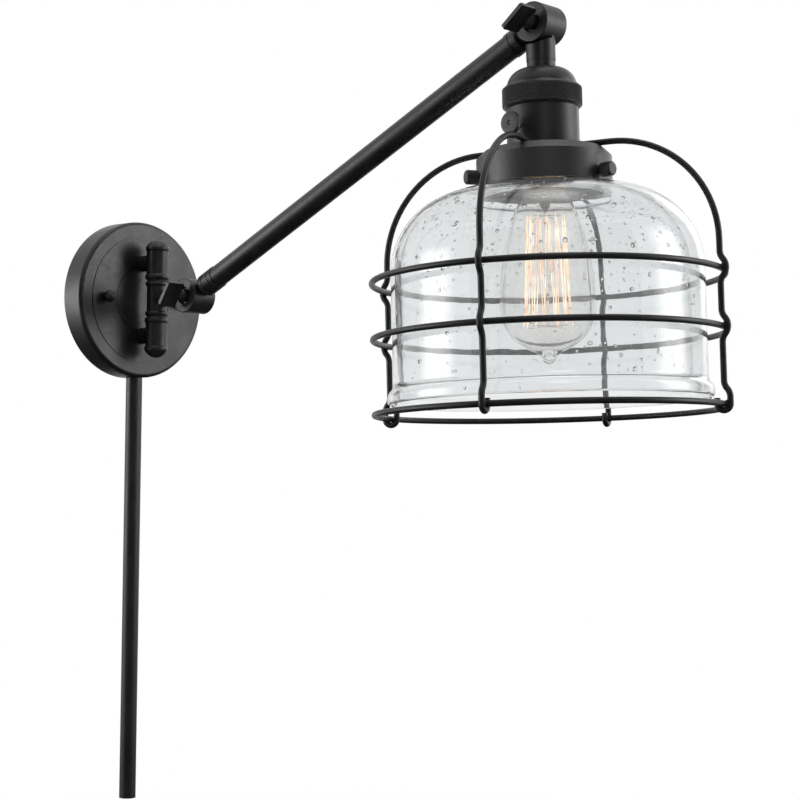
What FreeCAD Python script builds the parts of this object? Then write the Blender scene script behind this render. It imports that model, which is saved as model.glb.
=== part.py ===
"""Cage wall light: swing arm, tilting socket head, glass bell and wire cage, in millimetres.

World frame: X runs along the wall, -Y points into the room and Z is up. The origin is the
centre of the backplate's back face, on the wall.
"""
import FreeCAD
import Part
import Sketcher
import math
import os
from types import SimpleNamespace

Vector = FreeCAD.Vector

# Driving dimensions, in millimetres and degrees.
SIZES = {
    # backplate
    "plate_dia": 120.6,
    "plate_depth": 20.0,
    "plate_wall": 1.5,
    "plate_rim_round": 3.0,
    "face_step": 0.5,
    "face_step_dia": 97.6,
    "face_groove_dia": 51.0,
    "face_groove": 0.5,
    # bracket, studs and ball nuts
    "bracket_length": 90.0,
    "bracket_rise": 88.0,
    "bracket_width": 15.0,
    "bracket_thick": 2.0,
    "bracket_round": 3.0,
    "box_screw_spacing": 69.9,
    "box_slot_length": 10.0,
    "box_slot_width": 5.0,
    "stud_spacing": 73.0,
    "stud_dia": 4.0,
    "ball_nut_dia": 9.0,
    "ball_nut_neck_dia": 6.4,
    "ball_nut_neck_length": 1.6,
    "ground_screw_offset": 18.0,
    "ground_screw_dia": 4.0,
    "ground_screw_length": 7.0,
    "ground_screw_head_dia": 8.0,
    "ground_screw_head_height": 2.4,
    # posts between the plate and the barrel
    "post_spacing": 56.0,
    "post_dia": 12.4,
    "post_thread_dia": 8.0,
    "post_thread_length": 9.0,
    "post_bore": 4.6,
    "post_washer_dia": 15.0,
    "post_washer_thick": 1.2,
    "post_nut_flats": 12.0,
    "post_nut_height": 4.0,
    # hinge barrel
    "barrel_offset": 36.5,
    "pin_dia": 9.6,
    "pin_bore": 6.0,
    "sleeve_dia": 16.8,
    "sleeve_height": 21.8,
    "sleeve_bead_dia": 18.6,
    "sleeve_bead_height": 4.2,
    "end_bead_dia": 18.4,
    "end_bead_height": 4.1,
    "end_dome_height": 4.8,
    "centre_sleeve_dia": 15.4,
    "centre_sleeve_height": 26.8,
    "centre_bead_dia": 17.8,
    "centre_bead_height": 4.0,
    "thrust_washer_dia": 14.8,
    "thrust_washer_thick": 1.1,
    # knuckles
    "lower_pivot_offset": 78.2,
    "knuckle_dia": 25.7,
    "knuckle_near_depth": 9.6,
    "knuckle_far_depth": 11.0,
    "knuckle_dome": 4.5,
    "knuckle_edge": 0.8,
    "knuckle_clear": 1.4,
    "neck_root": 7.5,
    "friction_washer_dia": 21.0,
    "friction_washer_thick": 0.6,
    "hinge_screw_dia": 6.0,
    "hinge_screw_grip": 7.5,
    "recess_dia": 13.4,
    "recess_depth": 3.0,
    "swing_neck_dia": 13.0,
    "arm_neck_dia": 12.0,
    "wing_hub_dia": 9.6,
    "wing_hub_out": 1.4,
    "wing_length": 15.0,
    "wing_width": 20.0,
    "wing_thick": 2.6,
    "wing_corner": 1.5,
    "wing_sink": 1.8,
    "lower_wing_turn": 57.0,
    "upper_wing_turn": 39.0,
    # arm
    "arm_length": 364.0,
    "arm_rise": 25.5,
    "tube_dia": 16.0,
    "tube_wall": 1.2,
    "ferrule_dia": 17.2,
    "ferrule_start": 16.0,
    "ferrule_length": 15.0,
    "ferrule_lead_in": 1.0,
    "ferrule_groove": 0.7,
    "first_groove_place": 4.3,
    "second_groove_place": 10.6,
    "upper_ferrule_length": 9.0,
    "upper_groove_place": 5.3,
    "ferrule_spigot": 16.0,
    "ferrule_spigot_bore": 7.0,
    "arm_thread_dia": 9.6,
    "arm_thread_length": 9.0,
    "lead_dia": 2.2,
    # head, measured down its own axis from the upper pivot
    "head_tilt": 2.7,
    "neck_dia": 18.7,
    "neck_end": 24.0,
    "collar_dia": 18.2,
    "collar_length": 5.0,
    "nipple_dia": 9.6,
    "nipple_bore": 6.4,
    "nipple_grip": 7.0,
    "nipple_nut_flats": 14.0,
    "nipple_nut_height": 3.0,
    "sheet_wall": 1.2,
    "cap_dia": 44.6,
    "cap_dome": 12.2,
    "cap_skirt": 4.8,
    "ring_dia": 50.6,
    "ring_drop": 11.0,
    "ring_height": 14.8,
    "ring_top_bevel": 1.7,
    "ring_bottom_bevel": 1.6,
    "shell_dia": 46.0,
    "shell_wall": 1.0,
    "shell_length": 44.0,
    "liner_thick": 0.6,
    "liner_length": 34.0,
    "insulator_length": 26.5,
    "screw_shell_bore": 26.8,
    "screw_shell_wall": 0.5,
    "screw_shell_length": 26.0,
    "screw_shell_lip": 5.0,
    "contact_dia": 9.0,
    "contact_thick": 0.6,
    "contact_rivet_dia": 4.0,
    # switch key
    "key_drop": 68.0,
    "key_shaft_dia": 4.0,
    "key_reach": 34.0,
    "key_knob_dia": 14.0,
    "key_knob_thick": 3.4,
    "key_collar_dia": 6.4,
    "key_collar_length": 4.0,
    "key_depth": 11.0,
    # shade holder and its thumb screws
    "holder_dia": 85.6,
    "holder_top_drop": 82.0,
    "holder_height": 23.0,
    "holder_bevel": 4.8,
    "holder_wall": 1.4,
    "holder_nut_dia": 54.0,
    "holder_nut_height": 4.0,
    "thumb_screw_drop": 100.0,
    "thumb_screw_dia": 4.0,
    "thumb_head_dia": 9.0,
    "thumb_head_edge": 0.6,
    "thumb_head_length": 8.6,
    "thumb_stand_off": 1.6,
    # glass bell
    "glass_wall": 3.0,
    "glass_neck_dia": 77.0,
    "glass_lip_dia": 81.2,
    "glass_lip_height": 4.2,
    "glass_dia": 197.0,
    "glass_shoulder": 50.0,
    "glass_crown_gap": 3.0,
    "glass_neck_round": 6.0,
    "glass_flare": 3.7,
    "glass_rim_drop": 240.5,
    "glass_flare_height": 13.0,
    "glass_flare_run": 4.5,
    # cage
    "cage_clear": 6.3,
    "cage_wire_dia": 4.0,
    "cage_inset": 0.5,
    "cage_shoulder": 67.0,
    "cage_turn": 17.5,
    "cage_wire_start": 27.0,
    "upper_ring_drop": 163.8,
    "middle_ring_drop": 199.3,
    "lower_ring_drop": 246.5,
    "jog_half_length": 5.0,
    "hook_lead": 4.0,
    "hook_tail": 5.0,
    # bulb
    "bulb_dia": 60.3,
    "bulb_length": 140.0,
    "bulb_top_drop": 76.5,
    "bulb_wall": 0.8,
    "bulb_neck_dia": 28.4,
    "bulb_neck_depth": 9.0,
    "bulb_tip_length": 6.35,
    "bulb_tip_dia": 8.4,
    "bulb_tip_base_dia": 17.0,
    "bulb_base_dia": 26.2,
    "bulb_base_length": 24.0,
    "bulb_base_wall": 0.5,
    "bulb_contact_dia": 9.5,
    "bulb_contact_height": 1.5,
    "bulb_insulator_height": 3.0,
    "stem_dia": 7.0,
    "stem_length": 26.0,
    "stem_flare_length": 9.0,
    "stem_rod_dia": 2.4,
    "filament_dia": 0.6,
    "filament_hoop_dia": 1.0,
    "filament_top_dia": 21.0,
    "filament_bottom_dia": 32.0,
    "filament_height": 67.0,
    "filament_legs": 14,
    # cord cover
    "cover_offset": 10.8,
    "cover_dia": 12.6,
    "cover_wall": 1.0,
    "cover_length": 324.0,
    "cover_seat_dia": 11.2,
    "cover_sleeve_dia": 9.2,
    "cover_sleeve_bore": 7.4,
    "cover_sleeve_rise": 5.0,
    "cover_sleeve_depth": 14.0,
    "cover_clip_dia": 10.2,
    "cover_clip_thick": 1.0,
    "cover_clip_height": 3.2,
    # fits
    "running_gap": 0.05,
    "slip_gap": 0.1,
    "seat_gap": 0.05,
}

doc = FreeCAD.newDocument("cage_wall_light")
sheet = doc.addObject("Spreadsheet::Sheet", "Sizes")
for row, (alias, number) in enumerate(SIZES.items(), start=1):
    sheet.set(f"A{row}", alias)
    sheet.set(f"B{row}", str(number))
    sheet.setAlias(f"B{row}", alias)
doc.recompute()


class Size:
    """A length or an angle that keeps the sheet formula it comes from."""

    def __init__(self, value, formula):
        self.value = float(value)
        self.formula = formula

    def __add__(self, other):
        other = as_size(other)
        return Size(self.value + other.value, f"({self.formula} + {other.formula})")

    def __sub__(self, other):
        other = as_size(other)
        return Size(self.value - other.value, f"({self.formula} - {other.formula})")

    def __mul__(self, other):
        other = as_size(other)
        return Size(self.value * other.value, f"({self.formula} * {other.formula})")

    def __truediv__(self, other):
        other = as_size(other)
        return Size(self.value / other.value, f"({self.formula} / {other.formula})")

    def __neg__(self):
        return Size(-self.value, f"(0 - {self.formula})")

    def root(self):
        return Size(math.sqrt(self.value), f"sqrt({self.formula})")


def as_size(item):
    return item if isinstance(item, Size) else Size(item, f"{float(item)}")


d = SimpleNamespace(**{name: Size(number, f"Sizes.{name}") for name, number in SIZES.items()})
sub_parts = []


def new_body(label):
    body = doc.addObject("PartDesign::Body", label)
    body.Label = label
    return body


def finish(item, placement):
    """Puts a finished sub-part in its place and adds it to the list that is written out."""
    item.Placement = placement
    sub_parts.append(item)
    return item


def add_sketch(body, role, offset=0):
    """An empty sketch on one of the body's own origin planes, moved along the plane's normal."""
    sketch = body.newObject("Sketcher::SketchObject", f"{body.Label}_sketch")
    plane = next(item for item in body.Origin.OriginFeatures if item.Role == role)
    sketch.AttachmentSupport = (plane, "")
    sketch.MapMode = "FlatFace"
    offset = as_size(offset)
    sketch.AttachmentOffset = FreeCAD.Placement(Vector(0, 0, offset.value), FreeCAD.Rotation())
    sketch.setExpression(".AttachmentOffset.Base.z", offset.formula)
    return sketch


def fix_point(sketch, edge, end, x, y):
    """Ties a point of the sketch to its distances from the sketch's own origin."""
    for kind, axis, distance in (("DistanceX", -2, as_size(x)), ("DistanceY", -1, as_size(y))):
        if distance.formula == "0.0":
            sketch.addConstraint(Sketcher.Constraint("PointOnObject", edge, end, axis))
            continue
        index = sketch.addConstraint(Sketcher.Constraint(kind, -1, 1, edge, end, distance.value))
        sketch.setExpression(f"Constraints[{index}]", distance.formula)


def add_arc(sketch, start, end, radius):
    """A minor arc that turns left for a positive radius and right for a negative one."""
    if radius.value < 0:
        edge, first, last = add_arc(sketch, end, start, -radius)
        return edge, last, first
    chord = end - start
    rise = math.sqrt(max(radius.value ** 2 - chord.Length ** 2 / 4, 0))
    left = Vector(-chord.y, chord.x, 0).normalize()
    centre = start + chord / 2 + left * rise
    first = math.atan2(start.y - centre.y, start.x - centre.x)
    last = math.atan2(end.y - centre.y, end.x - centre.x)
    if last < first:
        last += 2 * math.pi
    circle = Part.Circle(centre, Vector(0, 0, 1), radius.value)
    edge = sketch.addGeometry(Part.ArcOfCircle(circle, first, last), False)
    index = sketch.addConstraint(Sketcher.Constraint("Radius", edge, radius.value))
    sketch.setExpression(f"Constraints[{index}]", radius.formula)
    return edge, 1, 2


def draw(sketch, corners, closed=True):
    """Joins (x, y) corners in turn, by an arc where a corner also names a radius."""
    points = [Vector(as_size(corner[0]).value, as_size(corner[1]).value, 0) for corner in corners]
    count = len(corners) if closed else len(corners) - 1
    edges = []
    for index in range(count):
        start = points[index]
        end = points[(index + 1) % len(points)]
        if len(corners[index]) > 2:
            edges.append(add_arc(sketch, start, end, as_size(corners[index][2])))
        else:
            edges.append((sketch.addGeometry(Part.LineSegment(start, end), False), 1, 2))
    for index, (edge, first, last) in enumerate(edges):
        fix_point(sketch, edge, first, corners[index][0], corners[index][1])
        if index + 1 < count or closed:
            after, after_first, _ = edges[(index + 1) % count]
            sketch.addConstraint(Sketcher.Constraint("Coincident", edge, last, after, after_first))
        else:
            fix_point(sketch, edge, last, corners[-1][0], corners[-1][1])


def draw_circle(sketch, x, y, radius):
    radius = as_size(radius)
    centre = Vector(as_size(x).value, as_size(y).value, 0)
    edge = sketch.addGeometry(Part.Circle(centre, Vector(0, 0, 1), radius.value), False)
    fix_point(sketch, edge, 3, x, y)
    index = sketch.addConstraint(Sketcher.Constraint("Radius", edge, radius.value))
    sketch.setExpression(f"Constraints[{index}]", radius.formula)


def turn(body, corners, axis="V_Axis", cut=False):
    """Revolves an outline in the body's XZ plane, about Z (V_Axis) or about X (H_Axis)."""
    sketch = add_sketch(body, "XZ_Plane")
    draw(sketch, corners)
    kind = "Groove" if cut else "Revolution"
    feature = body.newObject(f"PartDesign::{kind}", f"{body.Label}_{kind}")
    feature.Profile = (sketch, [""])
    feature.ReferenceAxis = (sketch, [axis])
    feature.Angle = 360
    return feature


def pad(body, sketch, length, middle=False):
    feature = body.newObject("PartDesign::Pad", f"{body.Label}_Pad")
    feature.Profile = (sketch, [""])
    feature.setExpression("Length", as_size(length).formula)
    feature.SideType = "Symmetric" if middle else "One side"
    return feature


def pocket(body, sketch, length=None, towards_normal=False):
    """Cuts the sketch out of the body, one way by the length, or both ways right through."""
    feature = body.newObject("PartDesign::Pocket", f"{body.Label}_Pocket")
    feature.Profile = (sketch, [""])
    if length is None:
        feature.Type = "ThroughAll"
        feature.SideType = "Symmetric"
    else:
        feature.setExpression("Length", as_size(length).formula)
        feature.Reversed = towards_normal
    return feature


def repeat_round(body, feature, sketch, count):
    """Repeats a feature evenly about the sketch's upright axis."""
    pattern = body.newObject("PartDesign::PolarPattern", f"{body.Label}_Pattern")
    pattern.Originals = [feature]
    pattern.Axis = (sketch, ["V_Axis"])
    pattern.Angle = 360
    pattern.Occurrences = count
    body.Tip = pattern


def about_x(x, y, z, angle):
    """A placement at a point in the world, tilted about the X direction."""
    base = Vector(as_size(x).value, as_size(y).value, as_size(z).value)
    return FreeCAD.Placement(base, FreeCAD.Rotation(Vector(1, 0, 0), as_size(angle).value))


def spun(angle, shift=Vector(0, 0, 0)):
    """A turn about the local Z, after a shift."""
    return FreeCAD.Placement(shift, FreeCAD.Rotation(Vector(0, 0, 1), angle))


# Frames of the moving groups. Local Z runs out from the wall on the base, along the arm and
# down the head; the local X stays the world's X.
rise = math.radians(d.arm_rise.value)
lower_pivot = Vector(0, -d.lower_pivot_offset.value, 0)
upper_pivot = lower_pivot + Vector(0, -math.cos(rise), math.sin(rise)) * d.arm_length.value
WALL = about_x(0, 0, 0, 90)
BARREL = about_x(0, -d.barrel_offset, 0, 0)
SWING = about_x(0, -d.lower_pivot_offset, 0, -90)
ARM = about_x(*lower_pivot, 90 - d.arm_rise.value)
ARM_BACK = about_x(*upper_pivot, -90 - d.arm_rise.value)
HEAD = about_x(*upper_pivot, 180 - d.head_tilt.value)


def bead(height, swell):
    """Radius of the round bead that swells out of a cylinder over a height."""
    return (height * height / 4 + swell * swell) / (swell * 2)


def bend(run, shift):
    """Radius of each of the two arcs that step a line sideways over twice the run."""
    return (run * run + shift * shift / 4) / shift


def round_box(sketch, left, bottom, right, top, corner):
    """A rectangle whose four corners are rounded."""
    draw(sketch, [
        (left + corner, bottom),
        (right - corner, bottom, corner),
        (right, bottom + corner),
        (right, top - corner, corner),
        (right - corner, top),
        (left + corner, top, corner),
        (left, top - corner),
        (left, bottom + corner, corner),
    ])


def pair(body, feature, axis_role, spacing):
    """A second copy of a feature at a spacing along one of the body's own axes."""
    axis = next(item for item in body.Origin.OriginFeatures if item.Role == axis_role)
    pattern = body.newObject("PartDesign::LinearPattern", f"{body.Label}_Pair")
    pattern.Originals = [feature]
    pattern.Direction = (axis, [""])
    pattern.setExpression("Length", spacing.formula)
    pattern.Occurrences = 2
    body.Tip = pattern


def tube(label, placement, bore, outer, start, end):
    """A plain ring or tube about local Z."""
    body = new_body(label)
    turn(body, [(bore, start), (outer, start), (outer, end), (bore, end)])
    return finish(body, placement)


def hex_pad(body, flats, bore, start, height):
    """A hexagon with a round hole, its flats facing along X."""
    sketch = add_sketch(body, "XY_Plane", start)
    side = flats / 2
    point = flats / (2 * math.sqrt(3))
    draw(sketch, [
        (0, point * 2),
        (-side, point),
        (-side, -point),
        (0, -(point * 2)),
        (side, -point),
        (side, point),
    ])
    draw_circle(sketch, 0, 0, bore)
    return pad(body, sketch, height)


# Wall base

plate_r = d.plate_dia / 2
plate_in = plate_r - d.plate_wall
rim_level = d.plate_depth - d.face_step
thread_hole_r = d.post_thread_dia / 2 + d.slip_gap
stud_r = d.stud_dia / 2
stud_x = d.stud_spacing / 2
post_y = d.post_spacing / 2


def build_backplate():
    body = new_body("backplate")
    groove_r = d.face_groove_dia / 2
    step_r = d.face_step_dia / 2
    ceiling = rim_level - d.plate_wall
    bend_level = rim_level - d.plate_rim_round
    bend_r = plate_r - d.plate_rim_round
    turn(body, [
        (plate_in, 0),
        (plate_r, 0),
        (plate_r, bend_level, d.plate_rim_round),
        (bend_r, rim_level),
        (step_r, rim_level),
        (step_r, d.plate_depth),
        (groove_r + d.face_groove, d.plate_depth),
        (groove_r + d.face_groove, d.plate_depth - d.face_groove),
        (groove_r, d.plate_depth - d.face_groove),
        (groove_r, d.plate_depth),
        (0, d.plate_depth),
        (0, ceiling),
        (bend_r, ceiling, -(d.plate_rim_round - d.plate_wall)),
        (plate_in, bend_level),
    ])
    holes = add_sketch(body, "XY_Plane")
    for sign in (-1, 1):
        draw_circle(holes, 0, post_y * sign, thread_hole_r)
        draw_circle(holes, stud_x * sign, 0, stud_r + d.slip_gap)
    pocket(body, holes)
    cord_hole = add_sketch(body, "XZ_Plane")
    draw_circle(cord_hole, 0, d.cover_offset, d.cover_sleeve_dia / 2 + d.slip_gap)
    pocket(body, cord_hole, plate_r + d.plate_wall, towards_normal=True)
    finish(body, WALL)


def build_bracket():
    body = new_body("cross_bracket")
    half_width = d.bracket_width / 2
    for reach_x, reach_y in ((d.bracket_length / 2, half_width), (half_width, d.bracket_rise / 2)):
        bar = add_sketch(body, "XY_Plane")
        round_box(bar, -reach_x, -reach_y, reach_x, reach_y, d.bracket_round)
        pad(body, bar, d.bracket_thick)
    holes = add_sketch(body, "XY_Plane")
    draw_circle(holes, d.ground_screw_offset, 0, d.ground_screw_dia / 2 + d.running_gap)
    for sign in (-1, 1):
        draw_circle(holes, stud_x * sign, 0, stud_r + d.running_gap)
    pocket(body, holes)
    slot_r = d.box_slot_width / 2
    for sign in (-1, 1):
        middle = d.box_screw_spacing / 2 * sign
        high = middle + d.box_slot_length / 2
        low = middle - d.box_slot_length / 2
        slot = add_sketch(body, "XY_Plane")
        draw(slot, [
            (slot_r, low + slot_r),
            (slot_r, high - slot_r, slot_r),
            (0, high, slot_r),
            (-slot_r, high - slot_r),
            (-slot_r, low + slot_r, slot_r),
            (0, low, slot_r),
        ])
        pocket(body, slot)
    finish(body, WALL)


def build_canopy_fasteners():
    seat = d.plate_depth + d.seat_gap
    nut_r = d.ball_nut_dia / 2
    neck_r = d.ball_nut_neck_dia / 2
    ball_z = seat + d.ball_nut_neck_length + (nut_r * nut_r - neck_r * neck_r).root()
    studs = new_body("canopy_studs")
    ends = add_sketch(studs, "XY_Plane")
    for sign in (-1, 1):
        draw_circle(ends, stud_x * sign, 0, stud_r)
    pad(studs, ends, ball_z)
    finish(studs, WALL)

    nuts = new_body("ball_nuts")
    bore = stud_r + d.running_gap
    feature = turn(nuts, [
        (bore, seat),
        (neck_r, seat),
        (neck_r, seat + d.ball_nut_neck_length, nut_r),
        (nut_r, ball_z, nut_r),
        (0, ball_z + nut_r),
        (0, ball_z + d.slip_gap),
        (bore, ball_z + d.slip_gap),
    ])
    pair(nuts, feature, "X_Axis", d.stud_spacing)
    finish(nuts, WALL * FreeCAD.Placement(Vector(-stud_x.value, 0, 0), FreeCAD.Rotation()))

    ground = new_body("ground_screw")
    head_r = d.ground_screw_head_dia / 2
    face = d.bracket_thick + d.seat_gap
    thread_r = d.ground_screw_dia / 2
    turn(ground, [
        (0, face + d.ground_screw_head_height - d.ground_screw_length),
        (thread_r, face + d.ground_screw_head_height - d.ground_screw_length),
        (thread_r, face),
        (head_r, face),
        (head_r, face + d.ground_screw_head_height / 2),
        (head_r * 0.7, face + d.ground_screw_head_height),
        (0, face + d.ground_screw_head_height),
    ])
    finish(ground, WALL * FreeCAD.Placement(Vector(d.ground_screw_offset.value, 0, 0), FreeCAD.Rotation()))


def build_posts():
    sleeve_r = d.sleeve_dia / 2 + d.seat_gap
    foot = d.plate_depth + d.seat_gap
    for label, sign in (("upper_post", 1), ("lower_post", -1)):
        body = new_body(label)
        turn(body, [
            (d.post_bore / 2, foot - d.post_thread_length),
            (d.post_thread_dia / 2, foot - d.post_thread_length),
            (d.post_thread_dia / 2, foot),
            (d.post_dia / 2, foot),
            (d.post_dia / 2, d.barrel_offset),
            (d.post_bore / 2, d.barrel_offset),
        ])
        saddle = add_sketch(body, "XZ_Plane")
        draw_circle(saddle, 0, d.barrel_offset, sleeve_r)
        pocket(body, saddle)
        finish(body, WALL * FreeCAD.Placement(Vector(0, post_y.value * sign, 0), FreeCAD.Rotation()))

    ceiling = rim_level - d.plate_wall - d.seat_gap
    bore = d.post_thread_dia / 2 + d.running_gap
    low = WALL * FreeCAD.Placement(Vector(0, -post_y.value, 0), FreeCAD.Rotation())
    washers = new_body("post_washers")
    washer_start = ceiling - d.post_washer_thick
    feature = turn(washers, [
        (bore, washer_start),
        (d.post_washer_dia / 2, washer_start),
        (d.post_washer_dia / 2, ceiling),
        (bore, ceiling),
    ])
    pair(washers, feature, "Y_Axis", d.post_spacing)
    finish(washers, low)

    nuts = new_body("post_nuts")
    nut_start = washer_start - d.seat_gap - d.post_nut_height
    feature = hex_pad(nuts, d.post_nut_flats, bore, nut_start, d.post_nut_height)
    pair(nuts, feature, "Y_Axis", d.post_spacing)
    finish(nuts, low)


pin_r = d.pin_dia / 2
sleeve_start = d.centre_sleeve_height / 2 + d.thrust_washer_thick + d.running_gap * 2
sleeve_end = sleeve_start + d.sleeve_height
pin_end = sleeve_end + d.end_bead_height - d.running_gap


def build_barrel():
    sleeve_r = d.sleeve_dia / 2
    sleeve_bead = bead(d.sleeve_bead_height, (d.sleeve_bead_dia - d.sleeve_dia) / 2)
    cap_r = d.sleeve_dia / 2
    cap_bead = bead(d.end_bead_height, (d.end_bead_dia - d.sleeve_dia) / 2)
    cap_end = sleeve_end + d.seat_gap + d.end_bead_height
    pin_room = pin_end + d.seat_gap
    dome = (cap_r * cap_r + d.end_dome_height * d.end_dome_height) / (d.end_dome_height * 2)
    bore = pin_r + d.running_gap
    for side, angle in (("upper", 0), ("lower", 180)):
        place = about_x(0, -d.barrel_offset, 0, angle)
        sleeve = new_body(f"{side}_barrel_sleeve")
        turn(sleeve, [
            (bore, sleeve_start),
            (sleeve_r, sleeve_start, sleeve_bead),
            (sleeve_r, sleeve_start + d.sleeve_bead_height),
            (sleeve_r, sleeve_end),
            (bore, sleeve_end),
        ])
        wire_way = add_sketch(sleeve, "XZ_Plane")
        draw_circle(wire_way, 0, post_y, d.post_bore / 2)
        pocket(sleeve, wire_way, sleeve_r * 2, towards_normal=(side == "lower"))
        finish(sleeve, place)

    caps = new_body("end_caps")
    for side in (1, -1):
        turn(caps, [
            (bore, (sleeve_end + d.seat_gap) * side),
            (cap_r, (sleeve_end + d.seat_gap) * side, cap_bead * side),
            (cap_r, cap_end * side, dome * side),
            (0, (cap_end + d.end_dome_height) * side),
            (0, pin_room * side),
            (bore, pin_room * side),
        ])
    finish(caps, BARREL)

    pin = new_body("hinge_pin")
    turn(pin, [
        (d.pin_bore / 2, -pin_end),
        (pin_r, -pin_end),
        (pin_r, pin_end),
        (d.pin_bore / 2, pin_end),
    ])
    wire_ways = add_sketch(pin, "XZ_Plane")
    for sign in (-1, 1):
        draw_circle(wire_ways, 0, post_y * sign, d.post_bore / 2)
    pocket(pin, wire_ways, d.pin_dia)
    finish(pin, BARREL)

    washers = new_body("thrust_washers")
    start = -(sleeve_start - d.running_gap)
    feature = turn(washers, [
        (bore, start),
        (d.thrust_washer_dia / 2, start),
        (d.thrust_washer_dia / 2, start + d.thrust_washer_thick),
        (bore, start + d.thrust_washer_thick),
    ])
    spacing = d.centre_sleeve_height + d.thrust_washer_thick + d.running_gap * 2
    pair(washers, feature, "Z_Axis", spacing)
    finish(washers, BARREL)


def build_cord_cover():
    frame = about_x(0, -d.cover_offset, -plate_r, 180)
    cover_r = d.cover_dia / 2
    cover_in = cover_r - d.cover_wall
    seat_r = d.cover_seat_dia / 2
    seat_floor = d.cover_sleeve_depth + d.seat_gap
    cover = new_body("cord_cover")
    turn(cover, [
        (seat_r, d.seat_gap),
        (cover_r, d.seat_gap),
        (cover_r, d.cover_length),
        (cover_in, d.cover_length),
        (cover_in, seat_floor),
        (seat_r, seat_floor),
    ])
    finish(cover, frame)
    sleeve = new_body("cover_sleeve")
    sleeve_r = d.cover_sleeve_dia / 2
    turn(sleeve, [
        (d.cover_sleeve_bore / 2, -d.cover_sleeve_rise),
        (sleeve_r, -d.cover_sleeve_rise),
        (sleeve_r, d.seat_gap),
        (seat_r - d.running_gap, d.seat_gap),
        (seat_r - d.running_gap, d.cover_sleeve_depth),
        (d.cover_sleeve_bore / 2, d.cover_sleeve_depth),
    ])
    finish(sleeve, frame)
    clip_end = -d.cover_clip_height
    tube("cover_clip", frame, sleeve_r + d.running_gap, d.cover_clip_dia / 2,
         clip_end - d.cover_clip_thick, clip_end)


# Knuckles

knuckle_r = d.knuckle_dia / 2
hinge_bore = d.hinge_screw_dia / 2 + d.running_gap
washer_floor = d.friction_washer_thick + d.seat_gap


def build_knuckle_half(label, near, neck):
    """Half of a knuckle that turns about local X, with its neck out along local Z.

    The near half lies at -X and takes the wing screw; the far half at +X has a domed end.
    """
    body = new_body(label)
    turn(body, neck)
    room = knuckle_r + d.knuckle_clear
    side = -1 if near else 1
    reach = (d.knuckle_far_depth + d.knuckle_near_depth) * side
    seam = d.seat_gap * side
    turn(body, [(seam, 0), (-reach, 0), (-reach, room), (seam, room)], "H_Axis", cut=True)
    if near:
        face = -d.knuckle_near_depth
        turn(body, [
            (seam, hinge_bore),
            (seam, knuckle_r),
            (face + d.knuckle_edge, knuckle_r, d.knuckle_edge),
            (face, knuckle_r - d.knuckle_edge),
            (face, d.recess_dia / 2),
            (face + d.recess_depth, d.recess_dia / 2),
            (face + d.recess_depth, hinge_bore),
        ], "H_Axis")
        washer_r = d.friction_washer_dia / 2 + d.slip_gap
        turn(body, [
            (-washer_floor, 0),
            (-washer_floor, washer_r),
            (0, washer_r),
            (0, 0),
        ], "H_Axis", cut=True)
    else:
        face = d.knuckle_far_depth
        dome = (knuckle_r * knuckle_r + d.knuckle_dome * d.knuckle_dome) / (d.knuckle_dome * 2)
        thread_end = d.hinge_screw_grip + d.slip_gap
        turn(body, [
            (seam, hinge_bore),
            (seam, knuckle_r),
            (face, knuckle_r, -dome),
            (face + d.knuckle_dome, 0),
            (thread_end, 0),
            (thread_end, hinge_bore),
        ], "H_Axis")
    return body


def build_friction_washer(label, pivot):
    body = new_body(label)
    start = -washer_floor
    end = start + d.friction_washer_thick
    turn(body, [
        (start, hinge_bore),
        (end, hinge_bore),
        (end, d.friction_washer_dia / 2),
        (start, d.friction_washer_dia / 2),
    ], "H_Axis")
    finish(body, about_x(*pivot, 0))


def build_wing_screw(label, pivot, lean):
    """A screw along local X with a round hub and a flat thumb wing that leans from level."""
    body = new_body(label)
    hub_r = d.wing_hub_dia / 2
    hub = -(d.knuckle_near_depth + d.wing_hub_out)
    floor = -(d.knuckle_near_depth - d.recess_depth + d.running_gap)
    shank_r = d.hinge_screw_dia / 2
    turn(body, [
        (hub - hub_r, 0, -hub_r),
        (hub, hub_r),
        (floor, hub_r),
        (floor, shank_r),
        (d.hinge_screw_grip, shank_r),
        (d.hinge_screw_grip, 0),
    ], "H_Axis")
    wing = add_sketch(body, "XZ_Plane")
    root = hub - hub_r + d.wing_sink
    half = d.wing_width / 2
    round_box(wing, root - d.wing_length, -half, root, half, d.wing_corner)
    pad(body, wing, d.wing_thick, middle=True)
    finish(body, about_x(*pivot, 90 - lean.value))


def arm_neck():
    """Neck and threaded end that hold an arm ferrule."""
    return [
        (0, d.neck_root),
        (d.arm_neck_dia / 2, d.neck_root),
        (d.arm_neck_dia / 2, d.ferrule_start - d.seat_gap),
        (d.arm_thread_dia / 2, d.ferrule_start - d.seat_gap),
        (d.arm_thread_dia / 2, d.ferrule_start + d.arm_thread_length),
        (0, d.ferrule_start + d.arm_thread_length),
    ]


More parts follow.
